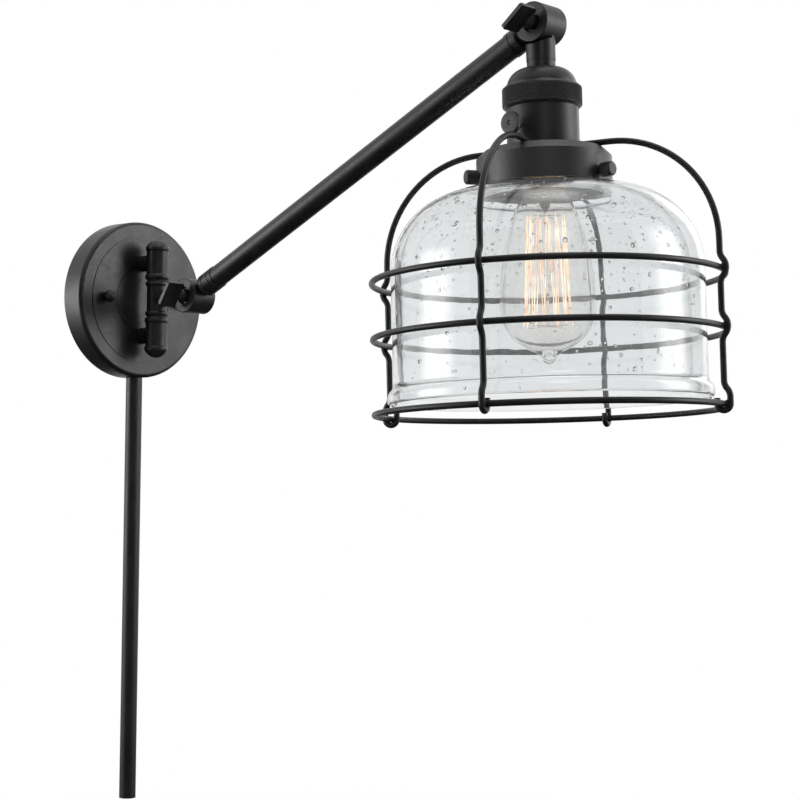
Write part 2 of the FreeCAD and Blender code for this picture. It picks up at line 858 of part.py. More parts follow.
def build_swing():
    sleeve_r = d.centre_sleeve_dia / 2
    half = d.centre_sleeve_height / 2
    swell = bead(d.centre_bead_height, (d.centre_bead_dia - d.centre_sleeve_dia) / 2)
    sleeve = new_body("centre_sleeve")
    turn(sleeve, [
        (pin_r + d.running_gap, -half),
        (sleeve_r, -half, swell),
        (sleeve_r, -half + d.centre_bead_height),
        (sleeve_r, half - d.centre_bead_height, swell),
        (sleeve_r, half),
        (pin_r + d.running_gap, half),
    ])
    finish(sleeve, BARREL)

    reach = d.lower_pivot_offset - d.barrel_offset
    neck = [
        (0, d.neck_root),
        (d.swing_neck_dia / 2, d.neck_root),
        (d.swing_neck_dia / 2, reach),
        (0, reach),
    ]
    knuckle = build_knuckle_half("swing_knuckle", True, neck)
    saddle = add_sketch(knuckle, "XZ_Plane")
    draw_circle(saddle, 0, reach, sleeve_r + d.seat_gap)
    pocket(knuckle, saddle)
    finish(knuckle, SWING)
    build_friction_washer("lower_friction_washer", lower_pivot)
    build_wing_screw("lower_wing_screw", lower_pivot, d.lower_wing_turn)


# Arm

tube_in = d.tube_dia / 2 - d.tube_wall


def build_ferrule(label, placement, length, groove_places):
    ferrule_r = d.ferrule_dia / 2
    ferrule_end = d.ferrule_start + length
    floor = ferrule_r - d.ferrule_groove
    thread_r = d.arm_thread_dia / 2 + d.running_gap
    thread_end = d.ferrule_start + d.arm_thread_length + d.slip_gap
    outline = [
        (thread_r, d.ferrule_start),
        (ferrule_r - d.ferrule_lead_in, d.ferrule_start, d.ferrule_lead_in),
        (ferrule_r, d.ferrule_start + d.ferrule_lead_in),
    ]
    for place in groove_places:
        low = d.ferrule_start + place  # groove's edge nearer the knuckle
        outline += [
            (ferrule_r, low),
            (floor, low),
            (floor, low + d.ferrule_groove),
            (ferrule_r, low + d.ferrule_groove),
        ]
    outline += [
        (ferrule_r, ferrule_end),
        (tube_in - d.running_gap, ferrule_end),
        (tube_in - d.running_gap, ferrule_end + d.ferrule_spigot),
        (d.ferrule_spigot_bore / 2, ferrule_end + d.ferrule_spigot),
        (d.ferrule_spigot_bore / 2, thread_end),
        (thread_r, thread_end),
    ]
    body = new_body(label)
    turn(body, outline)
    finish(body, placement)


def build_arm():
    finish(build_knuckle_half("arm_lower_knuckle", False, arm_neck()), ARM)
    finish(build_knuckle_half("arm_upper_knuckle", True, arm_neck()), ARM_BACK)
    build_ferrule("lower_ferrule", ARM, d.ferrule_length, (d.first_groove_place, d.second_groove_place))
    build_ferrule("upper_ferrule", ARM_BACK, d.upper_ferrule_length, (d.upper_groove_place,))
    start = d.ferrule_start + d.ferrule_length + d.seat_gap
    end = d.arm_length - (d.ferrule_start + d.upper_ferrule_length + d.seat_gap)
    tube("arm_tube", ARM, tube_in, d.tube_dia / 2, start, end)
    build_friction_washer("upper_friction_washer", upper_pivot)
    build_wing_screw("upper_wing_screw", upper_pivot, d.upper_wing_turn)

    leads = new_body("arm_leads")
    lead_r = d.lead_dia / 2
    apart = lead_r + d.seat_gap
    reach = tube_in - lead_r - d.seat_gap
    drop = (reach * reach - apart * apart).root()
    lead_start = start + d.ferrule_spigot + d.seat_gap
    ends = add_sketch(leads, "XY_Plane", lead_start)
    draw_circle(ends, apart, -drop, lead_r)
    draw_circle(ends, -apart, -drop, lead_r)
    pad(leads, ends, d.arm_length - lead_start * 2)
    finish(leads, ARM)


# Head

cap_top = d.neck_end + d.collar_length + d.seat_gap * 2
cap_r = d.cap_dia / 2
shell_r = d.shell_dia / 2
shell_top = cap_top + d.cap_dome + d.cap_skirt + d.seat_gap
ring_top = cap_top + d.ring_drop
shell_in = shell_r - d.shell_wall
insulator_top = shell_top + d.sheet_wall
insulator_end = insulator_top + d.insulator_length
liner_in = shell_in - d.running_gap - d.liner_thick


def build_neck():
    nipple_r = d.nipple_dia / 2
    bore = nipple_r + d.running_gap
    neck_r = d.neck_dia / 2
    thread_root = d.neck_end - d.nipple_grip
    neck = [
        (0, d.neck_root),
        (neck_r, d.neck_root),
        (neck_r, d.neck_end),
        (bore, d.neck_end),
        (bore, thread_root),
        (0, thread_root),
    ]
    finish(build_knuckle_half("head_knuckle", False, neck), HEAD)
    collar_start = d.neck_end + d.seat_gap
    tube("neck_collar", HEAD, bore, d.collar_dia / 2, collar_start, collar_start + d.collar_length)
    nut_start = cap_top + d.sheet_wall + d.seat_gap
    nipple_end = nut_start + d.nipple_nut_height + d.sheet_wall
    tube("nipple", HEAD, d.nipple_bore / 2, nipple_r, thread_root + d.slip_gap, nipple_end)
    nut = new_body("nipple_nut")
    hex_pad(nut, d.nipple_nut_flats, bore, nut_start, d.nipple_nut_height)
    finish(nut, HEAD)


def build_socket():
    bore = d.nipple_dia / 2 + d.running_gap
    cap = new_body("socket_cap")
    dome_end = cap_top + d.cap_dome
    skirt_end = dome_end + d.cap_skirt
    flat_r = cap_r - d.cap_dome
    turn(cap, [
        (bore, cap_top),
        (flat_r, cap_top, d.cap_dome),
        (cap_r, dome_end),
        (cap_r, skirt_end),
        (cap_r - d.sheet_wall, skirt_end),
        (cap_r - d.sheet_wall, dome_end, -(d.cap_dome - d.sheet_wall)),
        (flat_r, cap_top + d.sheet_wall),
        (bore, cap_top + d.sheet_wall),
    ])
    finish(cap, HEAD)

    ring = new_body("socket_ring")
    ring_r = d.ring_dia / 2
    ring_end = ring_top + d.ring_height
    inner = cap_r + d.seat_gap
    wide = shell_r + d.seat_gap
    turn(ring, [
        (inner, ring_top),
        (ring_r - d.ring_top_bevel, ring_top),
        (ring_r, ring_top + d.ring_top_bevel),
        (ring_r, ring_end - d.ring_bottom_bevel),
        (ring_r - d.ring_bottom_bevel, ring_end),
        (wide, ring_end),
        (wide, shell_top - d.seat_gap),
        (inner, shell_top - d.seat_gap),
    ])
    finish(ring, HEAD)

    key_hole = d.key_shaft_dia / 2 + d.running_gap
    shell = new_body("socket_shell")
    turn(shell, [
        (shell_in, shell_top),
        (shell_r, shell_top),
        (shell_r, shell_top + d.shell_length),
        (shell_in, shell_top + d.shell_length),
    ])
    liner = new_body("socket_liner")
    turn(liner, [
        (liner_in, insulator_top),
        (liner_in + d.liner_thick, insulator_top),
        (liner_in + d.liner_thick, insulator_top + d.liner_length),
        (liner_in, insulator_top + d.liner_length),
    ])
    insulator = new_body("socket_insulator")
    puck_r = liner_in - d.running_gap
    turn(insulator, [
        (0, insulator_top),
        (puck_r, insulator_top),
        (puck_r, insulator_end),
        (0, insulator_end),
    ])
    for body in (shell, liner, insulator):
        hole = add_sketch(body, "YZ_Plane", -d.key_depth)
        draw_circle(hole, 0, d.key_drop, key_hole)
        pocket(body, hole, shell_r)
        finish(body, HEAD)

    screw_shell = new_body("screw_shell")
    inner = d.screw_shell_bore / 2
    outer = inner + d.screw_shell_wall
    start = insulator_end + d.seat_gap
    lip_r = inner - d.screw_shell_lip
    turn(screw_shell, [
        (lip_r, start),
        (outer, start),
        (outer, start + d.screw_shell_length),
        (inner, start + d.screw_shell_length),
        (inner, start + d.screw_shell_wall),
        (lip_r, start + d.screw_shell_wall),
    ])
    finish(screw_shell, HEAD)

    contact = new_body("centre_contact")
    tip = d.bulb_top_drop - d.running_gap
    turn(contact, [
        (0, start),
        (d.contact_rivet_dia / 2, start),
        (d.contact_rivet_dia / 2, tip - d.contact_thick),
        (d.contact_dia / 2, tip - d.contact_thick),
        (d.contact_dia / 2, tip),
        (0, tip),
    ])
    finish(contact, HEAD)


def build_switch_key():
    """The turn key stands out of the socket shell along -X."""
    body = new_body("switch_key")
    shaft_r = d.key_shaft_dia / 2
    collar_start = -(shell_r + d.running_gap)
    collar_end = collar_start - d.key_collar_length
    swell = bead(d.key_collar_length, (d.key_collar_dia - d.key_shaft_dia) / 2)
    turn(body, [
        (-d.key_reach, 0),
        (-d.key_reach, d.key_knob_dia / 2),
        (-d.key_reach + d.key_knob_thick, d.key_knob_dia / 2),
        (-d.key_reach + d.key_knob_thick, shaft_r),
        (collar_end, shaft_r, -swell),
        (collar_start, shaft_r),
        (-(d.key_depth + d.slip_gap), shaft_r),
        (-(d.key_depth + d.slip_gap), 0),
    ], "H_Axis")
    finish(body, HEAD * spun(0, Vector(0, 0, d.key_drop.value)))


holder_r = d.holder_dia / 2
holder_end = d.holder_top_drop + d.holder_height
screw_r = d.thumb_screw_dia / 2
glass_side_r = d.glass_dia / 2
glass_rim_r = glass_side_r + d.glass_flare


def build_holder():
    holder = new_body("shade_holder")
    top = d.holder_top_drop
    bore = shell_r + d.seat_gap
    bevel_in = d.holder_bevel - d.holder_wall / 2
    turn(holder, [
        (bore, top),
        (holder_r - d.holder_bevel, top),
        (holder_r, top + d.holder_bevel),
        (holder_r, holder_end),
        (holder_r - d.holder_wall, holder_end),
        (holder_r - d.holder_wall, top + d.holder_wall + bevel_in),
        (holder_r - d.holder_wall - bevel_in, top + d.holder_wall),
        (bore, top + d.holder_wall),
    ])
    hole = add_sketch(holder, "XZ_Plane")
    draw_circle(hole, 0, d.thumb_screw_drop, screw_r + d.running_gap)
    cut = pocket(holder, hole, holder_r * 2)
    repeat_round(holder, cut, hole, 3)
    finish(holder, HEAD)
    nut_start = top + d.holder_wall + d.seat_gap
    tube("holder_nut", HEAD, bore, d.holder_nut_dia / 2, nut_start, nut_start + d.holder_nut_height)

    tip = d.glass_neck_dia / 2 + d.seat_gap
    head = holder_r + d.thumb_stand_off
    head_r = d.thumb_head_dia / 2
    end = head + d.thumb_head_length
    edge = d.thumb_head_edge
    for number in range(3):
        screw = new_body(f"thumb_screw_{number + 1}")
        turn(screw, [
            (tip, 0),
            (tip, screw_r),
            (head, screw_r),
            (head, head_r - edge),
            (head + edge, head_r),
            (end - edge, head_r),
            (end, head_r - edge),
            (end, 0),
        ], "H_Axis")
        finish(screw, HEAD * spun(90 + 120 * number, Vector(0, 0, d.thumb_screw_drop.value)))


def build_glass():
    body = new_body("glass_shade")
    wall = d.glass_wall
    neck_r = d.glass_neck_dia / 2
    lip_end = d.thumb_screw_drop - screw_r - d.seat_gap
    lip_top = lip_end - d.glass_lip_height
    crown = holder_end + d.glass_crown_gap
    bend_r = d.glass_neck_round
    side_r = glass_side_r
    shoulder_r = side_r - d.glass_shoulder
    shoulder_end = crown + d.glass_shoulder
    flare_bend = bend(d.glass_flare_run, d.glass_flare)
    flare_middle = side_r + d.glass_flare / 2
    flare_top = d.glass_rim_drop - d.glass_flare_height
    flare_end = flare_top + d.glass_flare_run * 2
    rim_r = glass_rim_r
    edge = wall / 2
    rim = d.glass_rim_drop
    turn(body, [
        (neck_r - wall, lip_top),
        (d.glass_lip_dia / 2, lip_top),
        (d.glass_lip_dia / 2, lip_end),
        (neck_r, lip_end),
        (neck_r, crown - bend_r, -bend_r),
        (neck_r + bend_r, crown),
        (shoulder_r, crown, d.glass_shoulder),
        (side_r, shoulder_end),
        (side_r, flare_top, -flare_bend),
        (flare_middle, flare_top + d.glass_flare_run, flare_bend),
        (rim_r, flare_end),
        (rim_r, rim - edge, edge),
        (rim_r - edge, rim, edge),
        (rim_r - wall, rim - edge),
        (rim_r - wall, flare_end, -flare_bend),
        (flare_middle - wall, flare_top + d.glass_flare_run, flare_bend),
        (side_r - wall, flare_top),
        (side_r - wall, shoulder_end, -(d.glass_shoulder - wall)),
        (shoulder_r, crown + wall),
        (neck_r + bend_r, crown + wall, bend_r + wall),
        (neck_r - wall, crown - bend_r),
    ])
    finish(body, HEAD)


def build_cage():
    wire_r = d.cage_wire_dia / 2
    ring_r = glass_rim_r + d.cage_clear + wire_r
    drops = {"upper": d.upper_ring_drop, "middle": d.middle_ring_drop, "lower": d.lower_ring_drop}
    for name, drop in drops.items():
        ring = doc.addObject("Part::Torus", f"{name}_cage_ring")
        ring.Label = f"{name}_cage_ring"
        ring.setExpression("Radius1", ring_r.formula)
        ring.setExpression("Radius2", wire_r.formula)
        finish(ring, HEAD * FreeCAD.Placement(Vector(0, 0, drop.value), FreeCAD.Rotation()))

    side = ring_r + d.cage_inset
    hook = d.cage_wire_dia + d.seat_gap
    out = hook - d.cage_inset
    run = d.jog_half_length
    jog = bend(run, out)
    level = d.holder_top_drop - wire_r - d.seat_gap
    path = [
        (d.cage_wire_start, level),
        (side - d.cage_shoulder, level, d.cage_shoulder),
        (side, level + d.cage_shoulder),
    ]
    for drop in (d.upper_ring_drop, d.middle_ring_drop):
        path += [
            (side, drop - run * 2, -jog),
            (side + out / 2, drop - run, jog),
            (side + out, drop, jog),
            (side + out / 2, drop + run, -jog),
            (side, drop + run * 2),
        ]
    low = d.lower_ring_drop
    path += [
        (side, low - d.hook_lead - run * 2, -jog),
        (side + out / 2, low - d.hook_lead - run, jog),
        (side + out, low - d.hook_lead),
        (side + out, low, hook),
        (ring_r, low + hook, hook),
        (ring_r - hook, low),
        (ring_r - hook, low - d.hook_tail),
    ]
    for number, name in enumerate(("front", "left", "back", "right")):
        wire = new_body(f"{name}_cage_wire")
        spine = add_sketch(wire, "XZ_Plane")
        draw(spine, path, closed=False)
        end = add_sketch(wire, "YZ_Plane", d.cage_wire_start)
        draw_circle(end, 0, level, wire_r)
        sweep = wire.newObject("PartDesign::AdditivePipe", f"{name}_sweep")
        sweep.Profile = (end, [""])
        sweep.Spine = (spine, [""])
        finish(wire, HEAD * spun(180 - d.cage_turn.value + 90 * number))


# Bulb

def build_bulb():
    top = d.bulb_top_drop
    base_r = d.bulb_base_dia / 2
    base_in = base_r - d.bulb_base_wall
    contact_r = d.bulb_contact_dia / 2
    cone_top = top + d.bulb_contact_height + d.seat_gap
    base_top = cone_top + d.bulb_insulator_height + d.seat_gap
    base_end = base_top + d.bulb_base_length

    contact = new_body("bulb_contact")
    turn(contact, [
        (0, top),
        (contact_r * 0.6, top),
        (contact_r, top + d.bulb_contact_height / 2),
        (contact_r, top + d.bulb_contact_height),
        (0, top + d.bulb_contact_height),
    ])
    finish(contact, HEAD)
    cone = new_body("bulb_insulator")
    turn(cone, [
        (0, cone_top),
        (contact_r, cone_top),
        (base_in, cone_top + d.bulb_insulator_height),
        (0, cone_top + d.bulb_insulator_height),
    ])
    finish(cone, HEAD)
    tube("bulb_base", HEAD, base_in, base_r, base_top, base_end)

    glass = new_body("bulb_glass")
    wall = d.bulb_wall
    ball_r = d.bulb_dia / 2
    ball = top + d.bulb_length - d.bulb_tip_length - ball_r
    inserted = base_in - d.running_gap
    shoulder = base_end + d.slip_gap
    neck_r = d.bulb_neck_dia / 2
    neck_top = shoulder + wall
    swell = ball_r - neck_r
    rise_run = ball - neck_top
    flank = (swell * swell + rise_run * rise_run) / (swell * 2)
    tip_base = d.bulb_tip_base_dia / 2
    tip_r = d.bulb_tip_dia / 2
    tip_dome = tip_r * 0.8
    tip_bend = (tip_r * tip_r + tip_dome * tip_dome) / (tip_dome * 2)
    tip = top + d.bulb_length
    tip_root = ball + (ball_r * ball_r - tip_base * tip_base).root()
    turn(glass, [
        (inserted - wall, base_end - d.bulb_neck_depth),
        (inserted, base_end - d.bulb_neck_depth),
        (inserted, shoulder),
        (neck_r, neck_top, flank),
        (ball_r, ball, ball_r),
        (tip_base, tip_root),
        (tip_r, tip - tip_dome, tip_bend),
        (0, tip),
        (0, ball + ball_r - wall, -(ball_r - wall)),
        (ball_r - wall, ball, -flank),
        (neck_r - wall, neck_top),
        (inserted - wall, shoulder),
    ])
    finish(glass, HEAD)

    stem = new_body("filament_stem")
    stem_top = base_end - d.bulb_neck_depth
    stem_r = d.stem_dia / 2
    flare_r = inserted - wall - d.running_gap
    stem_end = stem_top + d.stem_length
    rod_r = d.stem_rod_dia / 2
    filament_end = stem_end + d.filament_height
    turn(stem, [
        (0, stem_top),
        (flare_r, stem_top),
        (flare_r, stem_top + wall),
        (stem_r, stem_top + d.stem_flare_length),
        (stem_r, stem_end),
        (rod_r, stem_end),
        (rod_r, filament_end + d.stem_rod_dia),
        (0, filament_end + d.stem_rod_dia),
    ])
    finish(stem, HEAD)
    build_filament(stem_end + d.stem_rod_dia, filament_end, rod_r + d.seat_gap)


def add_rod(name, start, end, radius):
    """A straight wire between two points of the head's frame."""
    rod = doc.addObject("Part::Cylinder", name)
    rod.setExpression("Radius", radius.formula)
    rod.Height = (end - start).Length
    rod.Placement = FreeCAD.Placement(start, FreeCAD.Rotation(Vector(0, 0, 1), end - start))
    return rod


def build_filament(top, bottom, hub_r):
    """Upright strands between two round wire hoops, each held by four spokes."""
    wire_r = d.filament_dia / 2
    hoop_r = d.filament_hoop_dia / 2
    pieces = []
    for level, width in ((top, d.filament_top_dia), (bottom, d.filament_bottom_dia)):
        hoop = doc.addObject("Part::Torus", "filament_hoop")
        hoop.setExpression("Radius1", (width / 2).formula)
        hoop.setExpression("Radius2", hoop_r.formula)
        hoop.Placement = FreeCAD.Placement(Vector(0, 0, level.value), FreeCAD.Rotation())
        pieces.append(hoop)
        for quarter in range(4):
            way = spun(45 + 90 * quarter).multVec(Vector(1, 0, 0))
            lift = Vector(0, 0, level.value)
            start = way * hub_r.value + lift
            pieces.append(add_rod("filament_spoke", start, way * (width.value / 2) + lift, wire_r))
    legs = int(d.filament_legs.value)
    for leg in range(legs):
        way = spun(360 / legs * leg).multVec(Vector(1, 0, 0))
        start = way * (d.filament_top_dia.value / 2) + Vector(0, 0, top.value)
        end = way * (d.filament_bottom_dia.value / 2) + Vector(0, 0, bottom.value)
        pieces.append(add_rod("filament_leg", start, end, wire_r))
    filament = doc.addObject("Part::MultiFuse", "filament")
    filament.Label = "filament"
    filament.Shapes = pieces
    finish(filament, HEAD)


# Build, check and write

build_backplate()
build_bracket()
build_canopy_fasteners()
build_posts()
build_barrel()
build_cord_cover()
build_swing()
build_arm()
build_neck()
build_socket()
build_switch_key()
build_holder()
build_glass()
build_cage()
build_bulb()
doc.recompute()

for item in doc.Objects:
    if "Invalid" in item.State or "Error" in item.State:
        raise RuntimeError(f"{item.Label} did not build: {item.State}")
for item in sub_parts:
    if item.Shape.isNull() or not item.Shape.isValid():
        raise RuntimeError(f"{item.Label} has no valid shape")

os.makedirs("parts", exist_ok=True)
for item in sub_parts:
    item.Shape.exportStep(f"parts/{item.Label}.step")
    print(f"{item.Label}: {len(item.Shape.Solids)} solid(s), {item.Shape.Volume:.1f} mm3")
print(f"{len(sub_parts)} sub-parts written")
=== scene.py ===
import math

import bmesh
import bpy
from mathutils import Matrix, Vector


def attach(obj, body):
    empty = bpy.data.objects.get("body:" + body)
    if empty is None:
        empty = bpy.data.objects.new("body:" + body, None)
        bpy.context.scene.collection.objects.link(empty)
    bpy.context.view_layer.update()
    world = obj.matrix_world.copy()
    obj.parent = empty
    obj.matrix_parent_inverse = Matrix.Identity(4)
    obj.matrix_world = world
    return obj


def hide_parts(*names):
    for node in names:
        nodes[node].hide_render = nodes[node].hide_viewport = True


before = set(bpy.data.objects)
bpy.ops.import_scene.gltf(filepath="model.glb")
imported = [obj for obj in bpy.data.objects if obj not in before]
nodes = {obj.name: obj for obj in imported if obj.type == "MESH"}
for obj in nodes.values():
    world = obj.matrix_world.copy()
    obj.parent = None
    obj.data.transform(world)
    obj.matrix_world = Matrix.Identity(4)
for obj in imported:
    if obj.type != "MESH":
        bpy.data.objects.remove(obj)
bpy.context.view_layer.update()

# All sizes below are in millimetres. The finished meshes are in metres.
mm = 0.001
print("frame loaded:", len(nodes), "nodes")

# The head hangs from the upper pivot. Its own frame has X along the wall and Z down the head.
head = {"pivot": (0, -406.741, 156.706), "lean": 2.7}
lean = math.radians(head["lean"])
headFrame = Matrix((
    (1, 0, 0, head["pivot"][0] * mm),
    (0, -math.cos(lean), -math.sin(lean), head["pivot"][1] * mm),
    (0, math.sin(lean), -math.cos(lean), head["pivot"][2] * mm),
    (0, 0, 0, 1),
)) @ Matrix.Scale(mm, 4)


# Small helpers for node trees.

def addNode(tree, kind, values=None, **settings):
    node = tree.nodes.new(kind)
    for key, value in settings.items():
        setattr(node, key, value)
    for key, value in (values or {}).items():
        if isinstance(value, bpy.types.NodeSocket):
            tree.links.new(value, node.inputs[key])
        else:
            node.inputs[key].default_value = value
    return node


def calc(tree, operation, a, b=0.0):
    return addNode(tree, "ShaderNodeMath", {0: a, 1: b}, operation=operation).outputs[0]


def ramp(tree, factor, stops):
    node = addNode(tree, "ShaderNodeValToRGB", {"Fac": factor})
    band = node.color_ramp
    while len(band.elements) < len(stops):
        band.elements.new(0.5)
    for element, (place, colour) in zip(band.elements, stops):
        element.position = place
        element.color = (*colour, 1)
    return node.outputs["Color"]


def spread(tree, value, low, high, fromLow=0.0, fromHigh=1.0):
    node = addNode(tree, "ShaderNodeMapRange", {
        "Value": value, "From Min": fromLow, "From Max": fromHigh, "To Min": low, "To Max": high,
    })
    return node.outputs["Result"]


def newMaterial(name):
    material = bpy.data.materials.new(name)
    material.use_nodes = True
    tree = material.node_tree
    tree.nodes.clear()
    out = addNode(tree, "ShaderNodeOutputMaterial")
    place = addNode(tree, "ShaderNodeTexCoord").outputs["Object"]
    return material, tree, out, place


def noise(tree, place, size, detail=2.0, rough=0.5, stretch=None):
    if stretch:
        place = addNode(tree, "ShaderNodeMapping", {"Vector": place, "Scale": stretch}).outputs["Vector"]
    node = addNode(tree, "ShaderNodeTexNoise", {
        "Vector": place, "Scale": 1 / (size * mm), "Detail": detail, "Roughness": rough,
    })
    return node.outputs["Fac"]


def bumped(tree, height, strength, depth):
    bump = addNode(tree, "ShaderNodeBump", {"Height": height, "Strength": strength, "Distance": depth * mm})
    return bump.outputs["Normal"]


def coverWith(tree, out, values):
    body = addNode(tree, "ShaderNodeBsdfPrincipled", values)
    tree.links.new(body.outputs[0], out.inputs["Surface"])


# The finishes. Each takes its colours, sizes and gloss from one dictionary.

def blackCoat(name, look):
    material, tree, out, place = newMaterial(name)
    cloud = noise(tree, place, look["cloudSize"], 3)
    grain = noise(tree, place, look["grainSize"], 2, 0.6)
    dust = noise(tree, place, look["dustSize"], 1)
    tone = ramp(tree, cloud, [(0.3, look["dark"]), (0.7, look["pale"])])
    rough = calc(tree, "ADD", spread(tree, cloud, *look["rough"], 0.3, 0.7),
                 spread(tree, dust, 0.0, look["dusty"], 0.45, 0.7))
    coverWith(tree, out, {
        "Base Color": tone, "Roughness": rough, "Specular IOR Level": look["shine"],
        "Normal": bumped(tree, grain, look["bump"], look["bumpDepth"]),
    })
    return material


coat = {
    "dark": (0.004, 0.0041, 0.0044), "pale": (0.0075, 0.0076, 0.008), "rough": (0.3, 0.4), "shine": 0.42,
    "cloudSize": 22, "grainSize": 0.45, "dustSize": 1.6, "dusty": 0.06, "bump": 0.08, "bumpDepth": 0.05,
}
blackPlate = blackCoat("blackPlate", coat)
blackArm = blackCoat("blackArm", {**coat, "cloudSize": 16, "rough": (0.36, 0.46), "bump": 0.03})
blackSocket = blackCoat("blackSocket", {**coat, "rough": (0.36, 0.46), "pale": (0.009, 0.0091, 0.0095)})
blackHolder = blackCoat("blackHolder", {
    **coat, "dark": (0.008, 0.0085, 0.0083), "pale": (0.013, 0.0138, 0.0134), "rough": (0.42, 0.5), "shine": 0.62,
    "bump": 0.06,
})
blackCage = blackCoat("blackCage", {**coat, "rough": (0.32, 0.42), "cloudSize": 12, "shine": 0.34})
blackScrews = blackCoat("blackScrews", {
    **coat, "dark": (0.005, 0.005, 0.005), "pale": (0.01, 0.0098, 0.0095), "rough": (0.34, 0.46), "cloudSize": 5,
})


def metal(name, look):
    material, tree, out, place = newMaterial(name)
    brushed = noise(tree, place, look["brushSize"], 2, 0.6, look["brushWay"])
    patch = noise(tree, place, look["patchSize"], 3)
    tone = ramp(tree, patch, [(0.3, look["dark"]), (0.7, look["pale"])])
    coverWith(tree, out, {
        "Base Color": tone, "Roughness": spread(tree, brushed, *look["rough"], 0.3, 0.7), "Metallic": 1.0,
        "Normal": bumped(tree, brushed, look["bump"], look["bumpDepth"]),
    })
    return material


zincPlate = metal("zincPlate", {
    "dark": (0.52, 0.52, 0.5), "pale": (0.66, 0.66, 0.65), "rough": (0.28, 0.44),
    "brushSize": 0.8, "brushWay": (1, 1, 0.15), "patchSize": 6, "bump": 0.15, "bumpDepth": 0.03,
})
brass = metal("brass", {
    "dark": (0.62, 0.44, 0.2), "pale": (0.76, 0.58, 0.3), "rough": (0.22, 0.38),
    "brushSize": 0.7, "brushWay": (1, 1, 0.2), "patchSize": 5, "bump": 0.15, "bumpDepth": 0.03,
})


def mattePlastic(name, look):
    material, tree, out, place = newMaterial(name)
    fleck = noise(tree, place, look["fleckSize"], 4, 0.65)
    tone = ramp(tree, fleck, [(0.35, look["dark"]), (0.65, look["pale"])])
    coverWith(tree, out, {
        "Base Color": tone, "Roughness": spread(tree, fleck, *look["rough"]), "Specular IOR Level": look["shine"],
        "Normal": bumped(tree, fleck, look["bump"], look["bumpDepth"]),
    })
    return material


plastic = {"fleckSize": 0.9, "shine": 0.35, "bump": 0.3, "bumpDepth": 0.03}
washerFibre = mattePlastic("washerFibre", {
    **plastic, "dark": (0.3, 0.14, 0.08), "pale": (0.48, 0.26, 0.16), "rough": (0.7, 0.9), "bumpDepth": 0.05,
})
darkWasher = mattePlastic("darkWasher", {
    **plastic, "dark": (0.012, 0.012, 0.012), "pale": (0.03, 0.029, 0.028), "rough": (0.55, 0.75), "bumpDepth": 0.04,
})
sleevePlastic = mattePlastic("sleevePlastic", {
    **plastic, "dark": (0.035, 0.035, 0.036), "pale": (0.06, 0.06, 0.062), "rough": (0.45, 0.6), "fleckSize": 1.2,
})
leadRubber = mattePlastic("leadRubber", {
    **plastic, "dark": (0.02, 0.02, 0.02), "pale": (0.045, 0.045, 0.045), "rough": (0.6, 0.75), "fleckSize": 0.6,
})


def clearGlass(name, look):
    material, tree, out, place = newMaterial(name)
    swirl = noise(tree, place, look["swirlSize"], 2)
    # The base colour is painted grey and then dark towards the grazing edges by Layer Weight: a painted edge shade.
    edgeShadeFactor = addNode(tree, "ShaderNodeLayerWeight", {"Blend": look["edgeShadeBlend"]}).outputs["Facing"]
    tone = ramp(tree, edgeShadeFactor, look["edge"])
    body = addNode(tree, "ShaderNodeBsdfPrincipled", {
        "Base Color": tone, "Roughness": spread(tree, swirl, *look["rough"]), "IOR": look["ior"],
        "Transmission Weight": look["clear"], "Normal": bumped(tree, swirl, look["swirl"], look["swirlDepth"]),
    })
    seeThrough = addNode(tree, "ShaderNodeBsdfTransparent", {"Color": (*look["shadow"], 1)})
    ray = addNode(tree, "ShaderNodeLightPath").outputs["Is Shadow Ray"]
    both = addNode(tree, "ShaderNodeMixShader", {0: ray, 1: body.outputs[0], 2: seeThrough.outputs[0]})
    tree.links.new(both.outputs[0], out.inputs["Surface"])
    if look["soak"]:
        soak = addNode(tree, "ShaderNodeVolumeAbsorption", {"Color": (*look["soakColour"], 1), "Density": look["soak"]})
        tree.links.new(soak.outputs[0], out.inputs["Volume"])
    return material


glassLook = {
    "swirlSize": 26, "swirl": 0.25, "swirlDepth": 0.8, "rough": (0.0, 0.012), "ior": 1.5, "edgeShadeBlend": 0.35,
    # These edge stops paint shade: the bell greys and darkens where it is seen edge-on.
    "edge": [(0.0, (0.9, 0.915, 0.92)), (0.45, (0.86, 0.875, 0.88)), (0.75, (0.68, 0.69, 0.69)),
             (0.93, (0.4, 0.405, 0.4)), (1.0, (0.2, 0.205, 0.2))],
    "shadow": (0.93, 0.94, 0.94), "soak": 12.0, "soakColour": (0.8, 0.84, 0.83), "clear": 0.965,
}
seededGlass = clearGlass("seededGlass", glassLook)
seedSkin = clearGlass("seedSkin", {
    **glassLook, "swirl": 0.0, "soak": 0, "rough": (0.0, 0.0), "clear": 1.0,
    # These edge stops paint each seed a shaded dark rim where it is seen edge-on.
    "edge": [(0.0, (1, 1, 1)), (0.4, (0.94, 0.94, 0.94)), (0.75, (0.62, 0.625, 0.625)), (1.0, (0.3, 0.3, 0.3))],
})
bulbGlass = clearGlass("bulbGlass", {
    **glassLook, "swirlSize": 14, "swirl": 0.12, "soak": 0, "ior": 1.46, "shadow": (0.98, 0.97, 0.94), "clear": 0.95,
    # These edge stops paint shade: the bulb darkens where it is seen edge-on.
    "edge": [(0.0, (0.99, 0.988, 0.98)), (0.6, (0.975, 0.972, 0.965)), (0.85, (0.7, 0.695, 0.685)),
             (1.0, (0.28, 0.28, 0.28))],
})
stemGlass = clearGlass("stemGlass", {
    **glassLook, "swirlSize": 5, "swirl": 0.3, "soak": 0, "shadow": (0.97, 0.96, 0.94),
    # These edge stops paint shade: the stem darkens where it is seen edge-on.
    "edge": [(0.0, (0.98, 0.97, 0.95)), (0.6, (0.93, 0.92, 0.89)), (1.0, (0.5, 0.48, 0.45))],
})


